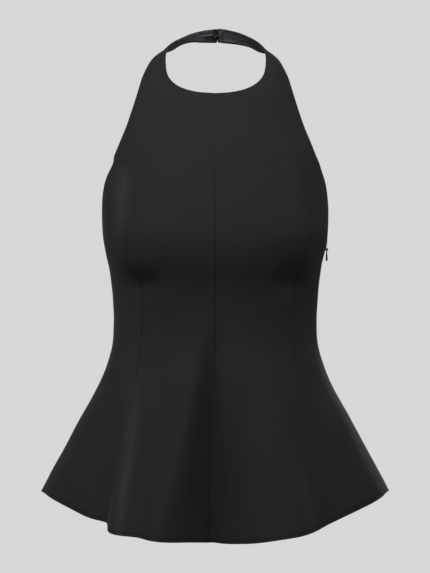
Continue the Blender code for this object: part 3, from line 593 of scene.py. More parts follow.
def grid_normals(points, side):
    """Outward normals: side says whether the columns run to the left or to the right."""
    across = np.gradient(points, axis=1)
    up = np.gradient(points, axis=0)
    normals = side * np.cross(across, up)
    return normals / np.linalg.norm(normals, axis=-1, keepdims=True)


# ---------------------------------------------------------------------------
# Relief of the cloth
# ---------------------------------------------------------------------------

def roll(distance, radius):
    """How far a rounded edge falls at a distance from its end."""
    short = np.clip(radius - distance, 0.0, radius)
    return radius - np.sqrt(radius * radius - short * short)


def bulge(distance):
    """Round hump of the cloth rolled over an edge, at a distance from it."""
    return np.sqrt(np.clip(1.0 - (distance / STRAP_ROLL - 0.5) ** 2 * 4.0, 0.0, 1.0))


def soft_lines(points, table):
    """Sum of the soft lines of a table."""
    height = np.zeros(points.shape[:-1])
    in_front = points[..., 1] < -NAPE_TO_AXIS
    for _, where, x1, z1, x2, z2, width, line_height in table:
        along = np.array((x2 - x1, z2 - z1))
        length = np.hypot(*along)
        along = along / length
        dx = points[..., 0] - x1
        dz = points[..., 2] - z1
        run = dx * along[0] + dz * along[1]
        off = dx * along[1] - dz * along[0]
        grown = smooth_step(LINE_GROWTH[0] * length, LINE_GROWTH[1] * length, run)
        faded = smooth_step(LINE_FADE[0] * length, LINE_FADE[1] * length, run)
        ends = grown * (1.0 - faded)
        shown = in_front if where == "front" else ~in_front
        height += np.where(shown, line_height * ends * bell(off, width), 0.0)
    return height


def low_waves(points):
    """The slight unevenness of cloth that has been worn and pressed."""
    x, y, z = np.moveaxis(points, -1, 0)
    wave = np.sin(0.061 * x + 0.037 * z + 1.3) * np.sin(0.043 * z - 0.052 * y + 0.4)
    small = np.sin(0.151 * x - 0.083 * z + 2.1) * np.sin(0.127 * z + 0.098 * y + 0.9)
    return 0.22 * wave + 0.09 * small


def sheet_mesh(name, outer, inner, across, up, marks, side):
    """Closed double-faced sheet: both faces share the points of their rim. marks holds, for each of
    the cloth's attributes, a grid of values for its outer face and one for its inner face."""
    rows, columns = outer.shape[:2]
    index = np.arange(rows * columns).reshape(rows, columns)
    under = index.copy()
    inside = np.arange((rows - 2) * (columns - 2)).reshape(rows - 2, columns - 2)
    under[1:-1, 1:-1] = rows * columns + inside
    points = np.concatenate([outer.reshape(-1, 3), inner[1:-1, 1:-1].reshape(-1, 3)]) * MM
    around = [index[:-1, :-1], index[:-1, 1:], index[1:, 1:], index[1:, :-1]]
    under_around = [under[:-1, :-1], under[1:, :-1], under[1:, 1:], under[:-1, 1:]]
    quads = np.stack(around, axis=-1).reshape(-1, 4)
    under_quads = np.stack(under_around, axis=-1).reshape(-1, 4)
    if side < 0:
        quads = quads[:, ::-1]
        under_quads = under_quads[:, ::-1]
    faces = np.concatenate([quads, under_quads])
    mesh = bpy.data.meshes.new(name)
    mesh.from_pydata(points.tolist(), [], faces.tolist())
    place = np.stack([side * across, up], axis=-1)
    place = np.concatenate([place.reshape(-1, 2), place[1:-1, 1:-1].reshape(-1, 2)]) * MM
    corners = np.zeros(len(mesh.loops), dtype=np.int32)
    mesh.loops.foreach_get("vertex_index", corners)
    mesh.uv_layers.new(name=CLOTH_MAP).data.foreach_set("uv", place[corners].ravel())
    for attribute, (outer_grid, inner_grid) in marks.items():
        values = np.concatenate([outer_grid.ravel(), inner_grid[1:-1, 1:-1].ravel()])
        mesh.attributes.new(attribute, "FLOAT", "POINT").data.foreach_set("value", values)
    mesh.shade_smooth()
    obj = bpy.data.objects.new(name, mesh)
    bpy.context.scene.collection.objects.link(obj)
    return obj


class InnerFace:
    """The inner face of a laid piece, on which its sewing shows. The seams say which of its rows
    are sewn to another piece at their first and their last column."""

    def __init__(self, points, facing, across, up, first_seam=None, last_seam=None):
        self.points = points
        self.facing = facing
        self.across = across
        self.up = up
        self.first_seam = first_seam
        self.last_seam = last_seam

    def beside(self, first, distance, rows=None):
        """Route at a distance from the first or the last column, over the given rows."""
        apart = self.across if first else (self.across[:, -1:] - self.across)[:, ::-1]
        points = self.points if first else self.points[:, ::-1]
        facing = self.facing if first else self.facing[:, ::-1]
        return route_at(apart, points, facing, distance, rows)

    def above_foot(self, distance):
        """Route at a distance above the first row."""
        points = self.points.swapaxes(0, 1)
        return route_at(self.up.T, points, self.facing.swapaxes(0, 1), distance)


def route_at(apart, points, facing, distance, chosen=None):
    """Where each chosen line of a grid reaches a distance: the points and their outward directions."""
    lines = range(len(apart)) if chosen is None else np.flatnonzero(chosen)
    route = [[np.interp(distance, apart[i], points[i, :, k]) for k in range(3)] for i in lines]
    outward = [[np.interp(distance, apart[i], facing[i, :, k]) for k in range(3)] for i in lines]
    return np.array(route), np.array(outward)


def allowance(distance, width):
    """1 over the width of an allowance, 0 beyond it."""
    return 1.0 - smooth_step(width - 1.0, width, distance)


def make_sheet(name, laid, side, seams, centre, rolled_from=None):
    """Sheet on a laid grid. seams gives, for each row, how much of a seam its first and last edges
    are; centre is the column that lies in the top's middle plane, or None; rolled_from is the
    station from which the cloth is rolled over both edges of the strap."""
    points, across, up, stations = laid
    normals = grid_normals(points, side)
    if centre is not None:
        flat_rows = seams[centre] > 0.5
        normals[flat_rows, centre, 0] = 0.0
    left = across
    right = across[:, -1:] - across
    foot = up
    top = up[-1:] - up
    nearest = to_edge(across, up)
    first_seam, last_seam = seams
    strength = np.interp(-points[..., 2], *np.array(SEAM_STRENGTH).T)
    first_sewn = strength * first_seam[:, None]
    last_sewn = strength * last_seam[:, None]
    dip = first_sewn * bell(left, SEAM_DIP_WIDTH) + last_sewn * bell(right, SEAM_DIP_WIDTH)
    sewn = first_seam[:, None] * (left < SEAM_REACH) + last_seam[:, None] * (right < SEAM_REACH)
    relief = soft_lines(points, CREASES) + low_waves(points) - SEAM_DIP * dip
    relief -= HEM_GROOVE_DEPTH * bell(foot - HEM_GROOVE, HEM_GROOVE_WIDTH)
    thick = ALLOWANCE_DEPTH * first_seam[:, None] * allowance(left, ALLOWANCE_WIDTH)
    thick += ALLOWANCE_DEPTH * last_seam[:, None] * allowance(right, ALLOWANCE_WIDTH)
    thick += ALLOWANCE_DEPTH * allowance(foot, HEM_ALLOWANCE)
    rim_shade = 0.0 * left
    if rolled_from is not None:
        on_strap = smooth_step(rolled_from, rolled_from + STRAP_ROLL_START, stations)[:, None]
        hump = np.maximum(NECK_ROLL[side] * bulge(left), np.maximum(bulge(right), bulge(top)))
        thick = thick + on_strap * STRAP_ROLL_DEPTH * hump
        rim = np.minimum(right, top if side > 0 else top - FACING_ENDS[side])
        rim_shade = RIM_SHADE * on_strap * (1.0 - smooth_step(STRAP_ROLL, STRAP_ROLL + RIM_FADE, rim))
    fade = smooth_step(0.0, THICK_FADE, nearest)
    rounding = 0.5 * CLOTH + (SEAM_ROUNDING - 0.5 * CLOTH) * sewn
    fall = roll(nearest, rounding)
    rise = roll(nearest, CLOTH - rounding)
    outer = points + (relief - fall)[..., None] * normals
    inner = points + (relief - CLOTH + rise - thick * fade)[..., None] * normals
    # painted shade along the seams, the hem's groove and its turned edge
    seam_line = first_sewn * bell(left, SEAM_SHADOW) + last_sewn * bell(right, SEAM_SHADOW)
    hem_shadow = HEM_SHADOW * bell(foot - HEM_GROOVE, HEM_GROOVE_WIDTH)
    seam_line += hem_shadow + HEM_EDGE_SHADOW * bell(foot, HEM_EDGE_WIDTH)
    wear = bell(nearest, WEAR_REACH) * (1.0 - sewn)
    lighter = soft_lines(points, PAINTED_HIGHLIGHT_LINES)
    # painted shade along the lines of its table, on the outer face
    painted_shade = soft_lines(points, PAINTED_SHADE_LINES)
    marks = {
        EDGE_WEAR: (wear, wear),
        PAINTED_SHADE_MARK: (seam_line + painted_shade, np.maximum(seam_line, rim_shade)),
        PAINTED_HIGHLIGHT: (lighter, 0.0 * lighter),
    }
    obj = sheet_mesh(name, outer, inner, across, up, marks, side)
    return obj, InnerFace(inner, -normals, across, up, first_seam > 0.5, last_seam > 0.5)


def make_front(name, side):
    """One front with its half of the neck strap."""
    run = control_stations(side)
    centre_neck = run[len(CHEST_ROWS)]
    laid = lay(front_place, side, 0.0, run[-1], corner=centre_neck)
    stations = laid[3]
    centre_seam = 1.0 * (stations < centre_neck + 0.05)
    princess = 1.0 - smooth_step(LOWER_FRONT - SEAM_END, LOWER_FRONT, stations)
    seams = (centre_seam, princess)
    return make_sheet(name, laid, side, seams, 0, rolled_from=run[SIDE_NECK_ROW])


def make_side_front(name, side):
    laid = lay(side_front_place, side, 0.0, 1.0)
    whole = np.ones(len(laid[3]))
    return make_sheet(name, laid, side, (whole, whole), None)


def make_back(name, side):
    laid = lay(back_place, side, 0.0, 1.0)
    whole = np.ones(len(laid[3]))
    return make_sheet(name, laid, side, (whole, whole), -1)


# ---------------------------------------------------------------------------
# Satin facing of the strap
# ---------------------------------------------------------------------------

FACING = 0.9
FACING_UNDER = 0.15                # from the crepe to the satin
FACING_STEP = 1.0
FACING_SHARES = {1: (0.08, 0.91), -1: (0.03, 0.86)}
FACING_ENDS = {1: 0.8, -1: 5.4}    # from the closure to the end of the facing

# Painted highlight and painted shade over the satin, along the strap beside its neck edge and its armhole
# edge
SATIN_LIGHT_AND_SHADE = {
    1: (
        # from the closure, neck edge, armhole edge
        (0.0, 1.75, 1.30),
        (5.0, 1.55, 1.05),
        (9.0, 1.15, 0.70),
        (30.0, 1.10, 0.75),
        (40.0, 0.75, 0.65),
        (52.0, 0.50, 0.45),
    ),
    -1: (
        (0.0, 1.20, 0.20),
        (8.0, 1.10, 0.15),
        (14.0, 1.20, 0.25),
        (19.0, 1.55, 0.90),
        (26.0, 1.85, 1.40),
        (44.0, 1.90, 1.70),
        (54.0, 0.90, 0.90),
    ),
}

# Crumples of the right half's satin, running along the strap near its closed end
CRUMPLES = (
    # share across, drift of the share over the length, start and end from the closure, width, height
    (0.18,  0.05,  5.0, 20.0, 0.060,  0.24),
    (0.35, -0.06,  7.0, 26.0, 0.070, -0.32),
    (0.50,  0.06,  9.0, 22.0, 0.070,  0.34),
    (0.60, -0.10, 18.0, 36.0, 0.090,  0.24),
)

TUCK = 0.55                # the right half's satin is drawn back along its armhole edge, near its end
TUCK_ENDS = (12.0, 21.0)


def make_facing(name, side):
    """Satin on the strap's inner side, from beside the neck to short of the closure."""
    run = control_stations(side)
    end_inset = FACING_ENDS[side]

    def place(share, station, side_sign):
        low, high = FACING_SHARES[side_sign]
        return upper_front(low + (high - low) * share, station, side_sign)

    points, across, up, _ = lay(place, side, run[SIDE_NECK_ROW], run[-1] - end_inset, step=FACING_STEP)
    normals = grid_normals(points, side)
    width = across[:, -1:]
    nearest = to_edge(across, up)
    fall = roll(nearest, 0.5 * FACING)
    to_closure = up[-1:] - up + end_inset
    relief = 0.25 * np.sin(0.21 * up + 0.6) * np.sin(math.pi * across / width)
    tuck = 0.0 * up
    if side < 0:
        tuck = TUCK * (1.0 - smooth_step(*TUCK_ENDS, to_closure)) * smooth_step(0.5, 1.0, across / width)
        for share, drift, start, end, spread, height in CRUMPLES:
            along = smooth_step(start - 5.0, start + 2.0, to_closure)
            along = along * (1.0 - smooth_step(end - 6.0, end + 6.0, to_closure))
            middle = share + drift * (to_closure - start) / (end - start)
            relief += height * along * bell(across / width - middle, spread * 1.4)
    base = CLOTH + FACING_UNDER
    outer = points - (base + fall)[..., None] * normals
    relief = relief * smooth_step(0.0, 2.0, nearest) - tuck
    inner = points - (base + FACING - fall + relief)[..., None] * normals
    # painted highlight and painted shade along the strap
    from_closure, neck_tone, armhole_tone = np.array(SATIN_LIGHT_AND_SHADE[side]).T
    half = smooth_step(0.35, 0.65, across / width)
    tone = np.interp(to_closure, from_closure, neck_tone) * (1.0 - half)
    tone += np.interp(to_closure, from_closure, armhole_tone) * half
    obj = sheet_mesh(name, outer, inner, across, up, {SATIN_LIGHT_AND_SHADE_MARK: (tone, tone)}, side)
    return obj, InnerFace(inner, -normals, across, up)


# ---------------------------------------------------------------------------
# Concealed zip, behind the left side seam
# ---------------------------------------------------------------------------

ZIP_ANGLE = 90.0
ZIP_DROPS = (490.0, 279.0)       # foot and top of the tapes
ZIP_CHAIN_DROPS = (489.0, 293.5)
ZIP_DEPTH = 2.9                  # from the cloth's outer face in to the tapes
ZIP_TAPE = 0.8
ZIP_TAPE_STEP = 1.5
ZIP_TAPE_WEAR = 0.8
ZIP_TAPE_OUTER = 11.0            # from the seam to the tape's outer edge
ZIP_TAPE_INNER = 0.7             # and to its inner edge, which makes way for the slider
SLIDER_ROOM = 3.2
SLIDER_ROOM_DROPS = (290.0, 300.0)
COIL_UNDER = 0.2                 # from the tapes in to the coil's route
COIL_POINTS = 60
SLIDER_SOFTENING = 0.12          # of the edges of slider and pull
PULL_SOFTENING = 0.2


def zip_surface(offset, drop, depth):
    """Points behind the side seam, at an offset from it towards the back and a depth under the cloth."""
    angle = ZIP_ANGLE + np.degrees(offset / section_width(drop))
    nearby = [surface(angle + a, drop + d) for a, d in ((-0.5, 0.0), (0.5, 0.0), (0.0, 1.0), (0.0, -1.0))]
    outward = np.cross(nearby[1] - nearby[0], nearby[3] - nearby[2])
    outward /= np.linalg.norm(outward, axis=-1, keepdims=True)
    return surface(angle, drop) - depth * outward, outward


def make_zip_tape(name, towards_back):
    """One woven tape: towards_back is 1 for the back's tape and -1 for the front's."""

    def place(share, station, _):
        drop = ZIP_DROPS[0] + (ZIP_DROPS[1] - ZIP_DROPS[0]) * station[:, None] + 0.0 * share
        inner = ZIP_TAPE_INNER + SLIDER_ROOM * (1.0 - smooth_step(*SLIDER_ROOM_DROPS, drop))
        part = share if towards_back > 0 else 1.0 - share
        offset = towards_back * (inner + (ZIP_TAPE_OUTER - inner) * part)
        return zip_surface(offset, drop, ZIP_DEPTH)[0]

    points, across, up, _ = lay(place, 1, 0.0, 1.0, step=ZIP_TAPE_STEP)
    normals = grid_normals(points, 1)
    nearest = to_edge(across, up)
    fall = roll(nearest, 0.5 * ZIP_TAPE)
    outer = points - fall[..., None] * normals
    inner = points - (ZIP_TAPE - fall)[..., None] * normals
    wear = bell(nearest, ZIP_TAPE_WEAR)
    obj = sheet_mesh(name, outer, inner, across, up, {EDGE_WEAR: (wear, wear)}, 1)
    return obj, InnerFace(inner, -normals, across, up)


# ---------------------------------------------------------------------------
# Materials
# ---------------------------------------------------------------------------

class Socket:
    """An output of a node; arithmetic on it adds Math nodes to the same tree."""

    def __init__(self, tree, socket):
        self.tree = tree
        self.socket = socket

    def math(self, operation, first, second):
        return self.tree.node("ShaderNodeMath", {"operation": operation}, {0: first, 1: second})

    def __add__(self, other):
        return self.math("ADD", self, other)

    def __radd__(self, other):
        return self.math("ADD", other, self)

    def __sub__(self, other):
        return self.math("SUBTRACT", self, other)

    def __rsub__(self, other):
        return self.math("SUBTRACT", other, self)

    def __mul__(self, other):
        return self.math("MULTIPLY", self, other)

    def __rmul__(self, other):
        return self.math("MULTIPLY", other, self)


class Tree:
    """Adds nodes to a shader tree or a Geometry Nodes tree."""

    def __init__(self, tree):
        self.tree = tree

    def node(self, kind, settings=None, sockets=None, output=0):
        """Add a node: its settings first, then the values or links of its sockets."""
        node = self.tree.nodes.new(kind)
        for name, value in (settings or {}).items():
            setattr(node, name, value)
        for name, value in (sockets or {}).items():
            self.put(node.inputs[name], value)
        return Socket(self, node.outputs[output]) if node.outputs else None

    def put(self, socket, value):
        if isinstance(value, Socket):
            self.tree.links.new(value.socket, socket)
        else:
            socket.default_value = value

    def mix(self, share, first, second):
        """Colour between two colours, each a triple or a socket."""
        kind = {"data_type": "RGBA"}
        colours = [c if isinstance(c, Socket) else (*c, 1.0) for c in (first, second)]
        return self.node("ShaderNodeMix", kind, {0: share, 6: colours[0], 7: colours[1]}, output=2)

    def noise(self, place, scale, detail=2.0, roughness=0.5):
        sockets = {"Vector": place, "Scale": scale, "Detail": detail, "Roughness": roughness}
        return self.node("ShaderNodeTexNoise", None, sockets)

    def stretch(self, place, scale):
        return self.node("ShaderNodeMapping", None, {"Vector": place, "Scale": scale})

    def bump(self, height, strength, distance):
        sockets = {"Height": height, "Strength": strength, "Distance": distance}
        return self.node("ShaderNodeBump", None, sockets)

    def attribute(self, name):
        return self.node("ShaderNodeAttribute", {"attribute_name": name}, output="Fac")


def finish(name, slot_name, varying, constant):
    """Material from what varies over the surface, given by a function, and what doesn't."""
    material = bpy.data.materials.new(name)
    material.use_nodes = True
    tree = Tree(material.node_tree)
    shader = material.node_tree.nodes["Principled BSDF"]
    for socket, value in constant.items():
        shader.inputs[socket].default_value = value
    for socket, value in varying(tree).items():
        tree.put(shader.inputs[socket], value)
    material["slot"] = slot_name
    return material


def object_place(tree):
    return tree.node("ShaderNodeTexCoord", output="Object")


def cloth_place(tree):
    return tree.node("ShaderNodeUVMap", {"uv_map": CLOTH_MAP})


def shade(colour, factor):
    return tuple(channel * factor for channel in colour)


def crepe(name, colour, peplum_colour):
    """Matt crepe suiting: a fine pebbled grain with soft slubs, a little rubbed along its edges. Its colour
    changes a little from the bodice to the peplum, a painted cast, and painted highlight and painted shade
    lie over it."""

    def varying(tree):
        place = cloth_place(tree)
        broad = tree.noise(place, 24.0, 3.0, 0.6)
        grain = tree.noise(place, 1500.0, 2.0, 0.6)
        slub = tree.noise(tree.stretch(place, (950.0, 120.0, 1.0)), 1.0, 2.0, 0.5)
        cross = tree.noise(tree.stretch(place, (140.0, 1100.0, 1.0)), 1.0, 2.0, 0.5)
        rubbed = tree.attribute(EDGE_WEAR)
        # painted shade of seams, hem, strap rims and shaded stretches
        seam = tree.attribute(PAINTED_SHADE_MARK)
        # painted highlight along the lines of its table
        lighter = tree.attribute(PAINTED_HIGHLIGHT)
        # painted cast: the colour changes with height from bodice to peplum
        level = tree.node("ShaderNodeSeparateXYZ", None, {0: object_place(tree)}, "Z")
        blend = {"Value": level, "From Min": PEPLUM_BLEND[0], "From Max": PEPLUM_BLEND[1]}
        below_waist = tree.node("ShaderNodeMapRange", {"interpolation_type": "SMOOTHSTEP"}, blend)
        cast = tree.mix(below_waist, colour, peplum_colour)
        share = broad * 0.55 + grain * 0.35 + rubbed * 0.25
        dark = tree.mix(GRAIN_DARKENING, cast, (0.0, 0.0, 0.0))
        light = tree.mix(GRAIN_LIGHTENING, cast, shade(peplum_colour, 2.0))
        plain = tree.mix(share, dark, light)
        cloth = tree.mix(lighter, plain, shade(peplum_colour, PAINTED_HIGHLIGHT_BY))
        height = grain * 0.5 + slub * 0.3 + cross * 0.35
        return {
            "Base Color": tree.mix(seam * PAINTED_SHADE_DARKNESS, cloth, shade(colour, PAINTED_SHADE_BLACK)),
            "Roughness": 0.82 + 0.12 * broad - 0.08 * rubbed,
            "Normal": tree.bump(height, 0.35, 0.00018),
        }

    constant = {
        "Specular IOR Level": 0.15,
        "Sheen Weight": 0.05,
        "Sheen Roughness": 0.45,
        "Sheen Tint": (0.82, 0.8, 0.86, 1.0),
    }
    return finish(name, "crepe", varying, constant)


def satin(name):
    """Shiny satin: smooth, with fine threads across it and slight streaks, under painted highlight and
    painted shade.
    """

    def varying(tree):
        place = cloth_place(tree)
        threads = tree.noise(tree.stretch(place, (2600.0, 160.0, 1.0)), 1.0, 2.0, 0.6)
        streak = tree.noise(tree.stretch(place, (260.0, 40.0, 1.0)), 1.0, 2.0, 0.5)
        # painted highlight and painted shade of the satin
        tone = tree.attribute(SATIN_LIGHT_AND_SHADE_MARK)
        light = tree.mix(streak, (0.036, 0.033, 0.042), (0.066, 0.061, 0.076))
        return {
            "Base Color": tree.mix(tone * 0.5, (0.0, 0.0, 0.0), light),
            "Roughness": 0.36 + 0.12 * streak,
            "Normal": tree.bump(threads * 0.3 + streak, 0.2, 0.0001),
        }

    return finish(name, "satin", varying, {"Specular IOR Level": 0.6, "Anisotropic": 0.5})


def lacquer(name):
    """Black lacquered metal with faint wear."""

    def varying(tree):
        place = object_place(tree)
        wear = tree.noise(place, 900.0, 3.0, 0.6)
        return {
            "Base Color": tree.mix(wear, (0.006, 0.006, 0.0065), (0.017, 0.017, 0.018)),
            "Roughness": 0.38 + 0.2 * wear,
            "Normal": tree.bump(wear, 0.15, 0.00005),
        }

    constant = {"Metallic": 0.3, "Coat Weight": 0.15, "Coat Roughness": 0.2}
    return finish(name, "lacquered metal", varying, constant)


def tape_finish(name):
    """Woven zip tape: small chevrons."""

    def varying(tree):
        place = cloth_place(tree)
        wave = {"wave_type": "BANDS", "bands_direction": "DIAGONAL"}
        sockets = {"Vector": tree.stretch(place, (900.0, 900.0, 1.0)), "Scale": 1.0, "Distortion": 0.6}
        twill = tree.node("ShaderNodeTexWave", wave, sockets, output="Fac")
        grain = tree.noise(place, 1800.0)
        return {
            "Base Color": tree.mix(twill * 0.6 + grain * 0.4, (0.009, 0.0085, 0.009), (0.022, 0.021, 0.022)),
            "Roughness": 0.7 + 0.1 * grain,
            "Normal": tree.bump(twill * 0.7 + grain * 0.3, 0.4, 0.0001),
        }

    return finish(name, "zip tape", varying, {"Specular IOR Level": 0.3})


def thread_finish(name, slot_name, roughness):
    """Black sewing thread or coil, with a fine uneven twist."""

    def varying(tree):
        place = object_place(tree)
        twist = tree.noise(place, 5200.0, 2.0, 0.6)
        return {
            "Base Color": tree.mix(twist, (0.008, 0.0075, 0.008), (0.028, 0.026, 0.029)),
            "Roughness": roughness + 0.15 * twist,
            "Normal": tree.bump(twist, 0.3, 0.00004),
        }

    return finish(name, slot_name, varying, {"Specular IOR Level": 0.4})


# ---------------------------------------------------------------------------
# Pieces
# ---------------------------------------------------------------------------

def dress(obj, material, body="top"):
    """Give a finished piece its material and the body it rides on."""
    obj.data.materials.clear()
    obj.data.materials.append(material)
    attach(obj, body)
    return obj


# Names of the stitch tree's inputs
ROUTE = "Route"
SPACING = "Spacing"
STITCH_LENGTH = "Stitch Length"
THREAD_RADIUS = "Thread Radius"
ARCH = "Arch"
SLANT = "Slant"
THREAD = "Thread"
FACING_OUT = "facing_out"

STITCHES = {
    # kind: spacing, stitch length, thread radius, arch, slant in degrees
    "overlock": (2.6, 4.0, 0.13, 0.30, 76.0),
    "hem slip stitch": (7.0, 3.2, 0.12, 0.40, 40.0),
    "facing slip stitch": (3.4, 1.5, 0.10, 0.25, 62.0),
    "tape stitch": (2.9, 2.1, 0.12, 0.18, 0.0),
    "ring wrap": (0.62, 2.3, 0.12, 2.0, 90.0),
    "zip coil": (0.95, 3.9, 0.34, 0.70, 82.0),
}


def stitch_tree():
    """Geometry Nodes that lay a row of arched threads along a route."""
    group = bpy.data.node_groups.new("row of threads", "GeometryNodeTree")
    sockets = group.interface
    sockets.new_socket(ROUTE, in_out="INPUT", socket_type="NodeSocketGeometry")
    for name in (SPACING, STITCH_LENGTH, THREAD_RADIUS, ARCH, SLANT):
        sockets.new_socket(name, in_out="INPUT", socket_type="NodeSocketFloat")
    sockets.new_socket(THREAD, in_out="INPUT", socket_type="NodeSocketMaterial")
    sockets.new_socket("Geometry", in_out="OUTPUT", socket_type="NodeSocketGeometry")
    tree = Tree(group)

    def given(name):
        return tree.node("NodeGroupInput", output=name)

    route = tree.node("GeometryNodeMeshToCurve", None, {"Mesh": given(ROUTE)})
    apart = {"Curve": route, "Length": given(SPACING)}
    even = tree.node("GeometryNodeResampleCurve", {"mode": "LENGTH"}, apart)
    facing = {"data_type": "FLOAT_VECTOR"}
    outward = tree.node("GeometryNodeInputNamedAttribute", facing, {"Name": FACING_OUT}, output="Attribute")
    tangent = tree.node("GeometryNodeInputTangent")
    along = tree.node("FunctionNodeAlignRotationToVector", {"axis": "X"}, {"Vector": tangent})
    pivot = {"axis": "Z", "pivot_axis": "X"}
    upright = tree.node("FunctionNodeAlignRotationToVector", pivot, {"Rotation": along, "Vector": outward})
    turn = {"Axis": (0.0, 0.0, 1.0), "Angle": given(SLANT)}
    slant = tree.node("FunctionNodeAxisAngleToRotation", None, turn)
    turned = {"Rotation": upright, "Rotate By": slant}
    direction = tree.node("FunctionNodeRotateRotation", {"rotation_space": "LOCAL"}, turned)
    half = given(STITCH_LENGTH) * 0.5
    bow = {
        "Resolution": 6,
        "Start": tree.node("ShaderNodeCombineXYZ", None, {"X": 0.0 - half}),
        "Middle": tree.node("ShaderNodeCombineXYZ", None, {"Z": given(ARCH) * 2.0}),
        "End": tree.node("ShaderNodeCombineXYZ", None, {"X": half}),
    }
    line = tree.node("GeometryNodeCurveQuadraticBezier", None, bow)
    round_thread = {"Resolution": 6, "Radius": given(THREAD_RADIUS)}
    section = tree.node("GeometryNodeCurvePrimitiveCircle", None, round_thread)
    swept = {"Curve": line, "Profile Curve": section, "Fill Caps": True}
    thread = tree.node("GeometryNodeCurveToMesh", None, swept)
    smooth = tree.node("GeometryNodeSetShadeSmooth", None, {"Geometry": thread})
    row = {"Points": even, "Instance": smooth, "Rotation": direction}
    laid = tree.node("GeometryNodeInstanceOnPoints", None, row)
    whole = tree.node("GeometryNodeRealizeInstances", None, {"Geometry": laid})
    made = tree.node("GeometryNodeSetMaterial", None, {"Geometry": whole, "Material": given(THREAD)})
    tree.node("NodeGroupOutput", None, {"Geometry": made})
    return group


def sew(name, kind, routes, tree, thread):
    """One piece of all the threads of a kind that lie along the routes."""
    points = np.concatenate([route for route, _ in routes]) * MM
    outward = np.concatenate([facing for _, facing in routes])
    edges = []
    start = 0
    for route, _ in routes:
        edges += [(start + i, start + i + 1) for i in range(len(route) - 1)]
        start += len(route)
    mesh = bpy.data.meshes.new(name)
    mesh.from_pydata(points.tolist(), edges, [])
    mesh.attributes.new(FACING_OUT, "FLOAT_VECTOR", "POINT").data.foreach_set("vector", outward.ravel())
    obj = bpy.data.objects.new(name, mesh)
    bpy.context.scene.collection.objects.link(obj)
    spacing, length, radius, arch, slant = STITCHES[kind]
    values = {
        SPACING: spacing * MM,
        STITCH_LENGTH: length * MM,
        THREAD_RADIUS: radius * MM,
        ARCH: arch * MM,
        SLANT: math.radians(slant),
        THREAD: thread,
    }
    modifier = obj.modifiers.new("threads", "NODES")
    modifier.node_group = tree
    for item in tree.interface.items_tree:
        if item.in_out == "INPUT" and item.name in values:
            modifier[item.identifier] = values[item.name]
    ready = obj.evaluated_get(bpy.context.evaluated_depsgraph_get())
    plain = bpy.data.meshes.new_from_object(ready)
    obj.modifiers.remove(modifier)
    obj.data = plain
    if FACING_OUT in plain.attributes:
        plain.attributes.remove(plain.attributes[FACING_OUT])
    return dress(obj, thread)


FLAT_ANGLE = math.radians(30)     # up to which triangles are joined
SHARP_ANGLE = math.radians(35)    # from which an edge is softened
HARD_ANGLE = math.radians(50)     # from which it still stays crisp
MERGE_DISTANCE = 0.00001


def merged_mesh(node):
    """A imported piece's mesh with its points merged."""
    mesh = bmesh.new()
    mesh.from_mesh(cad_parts[node].data)
    bmesh.ops.remove_doubles(mesh, verts=mesh.verts, dist=MERGE_DISTANCE)
    return mesh


def linked_object(name, mesh):
    data = bpy.data.meshes.new(name)
    mesh.to_mesh(data)
    mesh.free()
    data.shade_smooth()
    obj = bpy.data.objects.new(name, data)
    bpy.context.scene.collection.objects.link(obj)
    return obj


def smooth_wire(node, name):
    """Evenly round copy of a packed wire."""
    mesh = merged_mesh(node)
    bmesh.ops.join_triangles(mesh, faces=mesh.faces, angle_face_threshold=FLAT_ANGLE,
                             angle_shape_threshold=2.0 * FLAT_ANGLE)
    obj = linked_object(name, mesh)
    rounding = obj.modifiers.new("round", "SUBSURF")
    rounding.levels = 2
    rounding.render_levels = 2
    return obj


def refined_copy(node, name, width):
    """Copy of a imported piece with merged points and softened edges."""
    mesh = merged_mesh(node)
    sharp = [edge for edge in mesh.edges if edge.is_manifold and edge.calc_face_angle() > SHARP_ANGLE]
    bmesh.ops.bevel(mesh, geom=sharp, offset=width * MM, segments=2, profile=0.7, affect="EDGES",
                    clamp_overlap=True)
    obj = linked_object(name, mesh)
    obj.data.set_sharp_from_angle(angle=HARD_ANGLE)
    return obj


def overlock_routes(face):
    """The edges of the seam allowances, pressed open inside."""
    inset = ALLOWANCE_WIDTH - OVERLOCK_INSET
    routes = []
    if face.first_seam.any():
        routes.append(face.beside(True, inset, face.first_seam))
    if face.last_seam.any():
        routes.append(face.beside(False, inset, face.last_seam))
    return routes


# Width and length of the rectangle round each cut piece, laid flat, in metres
FRONT_FLAT = (0.235, 0.75)
SIDE_FRONT_FLAT = (0.19, 0.44)
BACK_FLAT = (0.31, 0.37)


def build_cloth(front_crepe, side_crepe, lining, tree, thread):
    """All cut pieces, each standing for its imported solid."""
    makers = {
        "front_left": (make_front, 1, front_crepe, FRONT_FLAT),
        "front_right": (make_front, -1, front_crepe, FRONT_FLAT),
        "side_front_left": (make_side_front, 1, side_crepe, SIDE_FRONT_FLAT),
        "side_front_right": (make_side_front, -1, side_crepe, SIDE_FRONT_FLAT),
        "back_left": (make_back, 1, front_crepe, BACK_FLAT),
        "back_right": (make_back, -1, front_crepe, BACK_FLAT),
    }
    for node, (maker, side, material, flat) in makers.items():
        piece, face = maker(node + "_cloth", side)
        dress(piece, material)
        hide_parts(node)
        overlock = sew(node + "_overlock", "overlock", overlock_routes(face), tree, thread)
        hem_route = face.above_foot(HEM_ALLOWANCE - HEM_STITCH_INSET)
        hem = sew(node + "_hem_stitches", "hem slip stitch", [hem_route], tree, thread)
    for node, side in (("neck_facing_left", 1), ("neck_facing_right", -1)):
        piece, face = make_facing(node + "_satin", side)
        dress(piece, lining)
        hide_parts(node)
        edges = [face.beside(first, FACING_STITCH_INSET) for first in (True, False)]
        slip = sew(node + "_stitches", "facing slip stitch", edges, tree, thread)


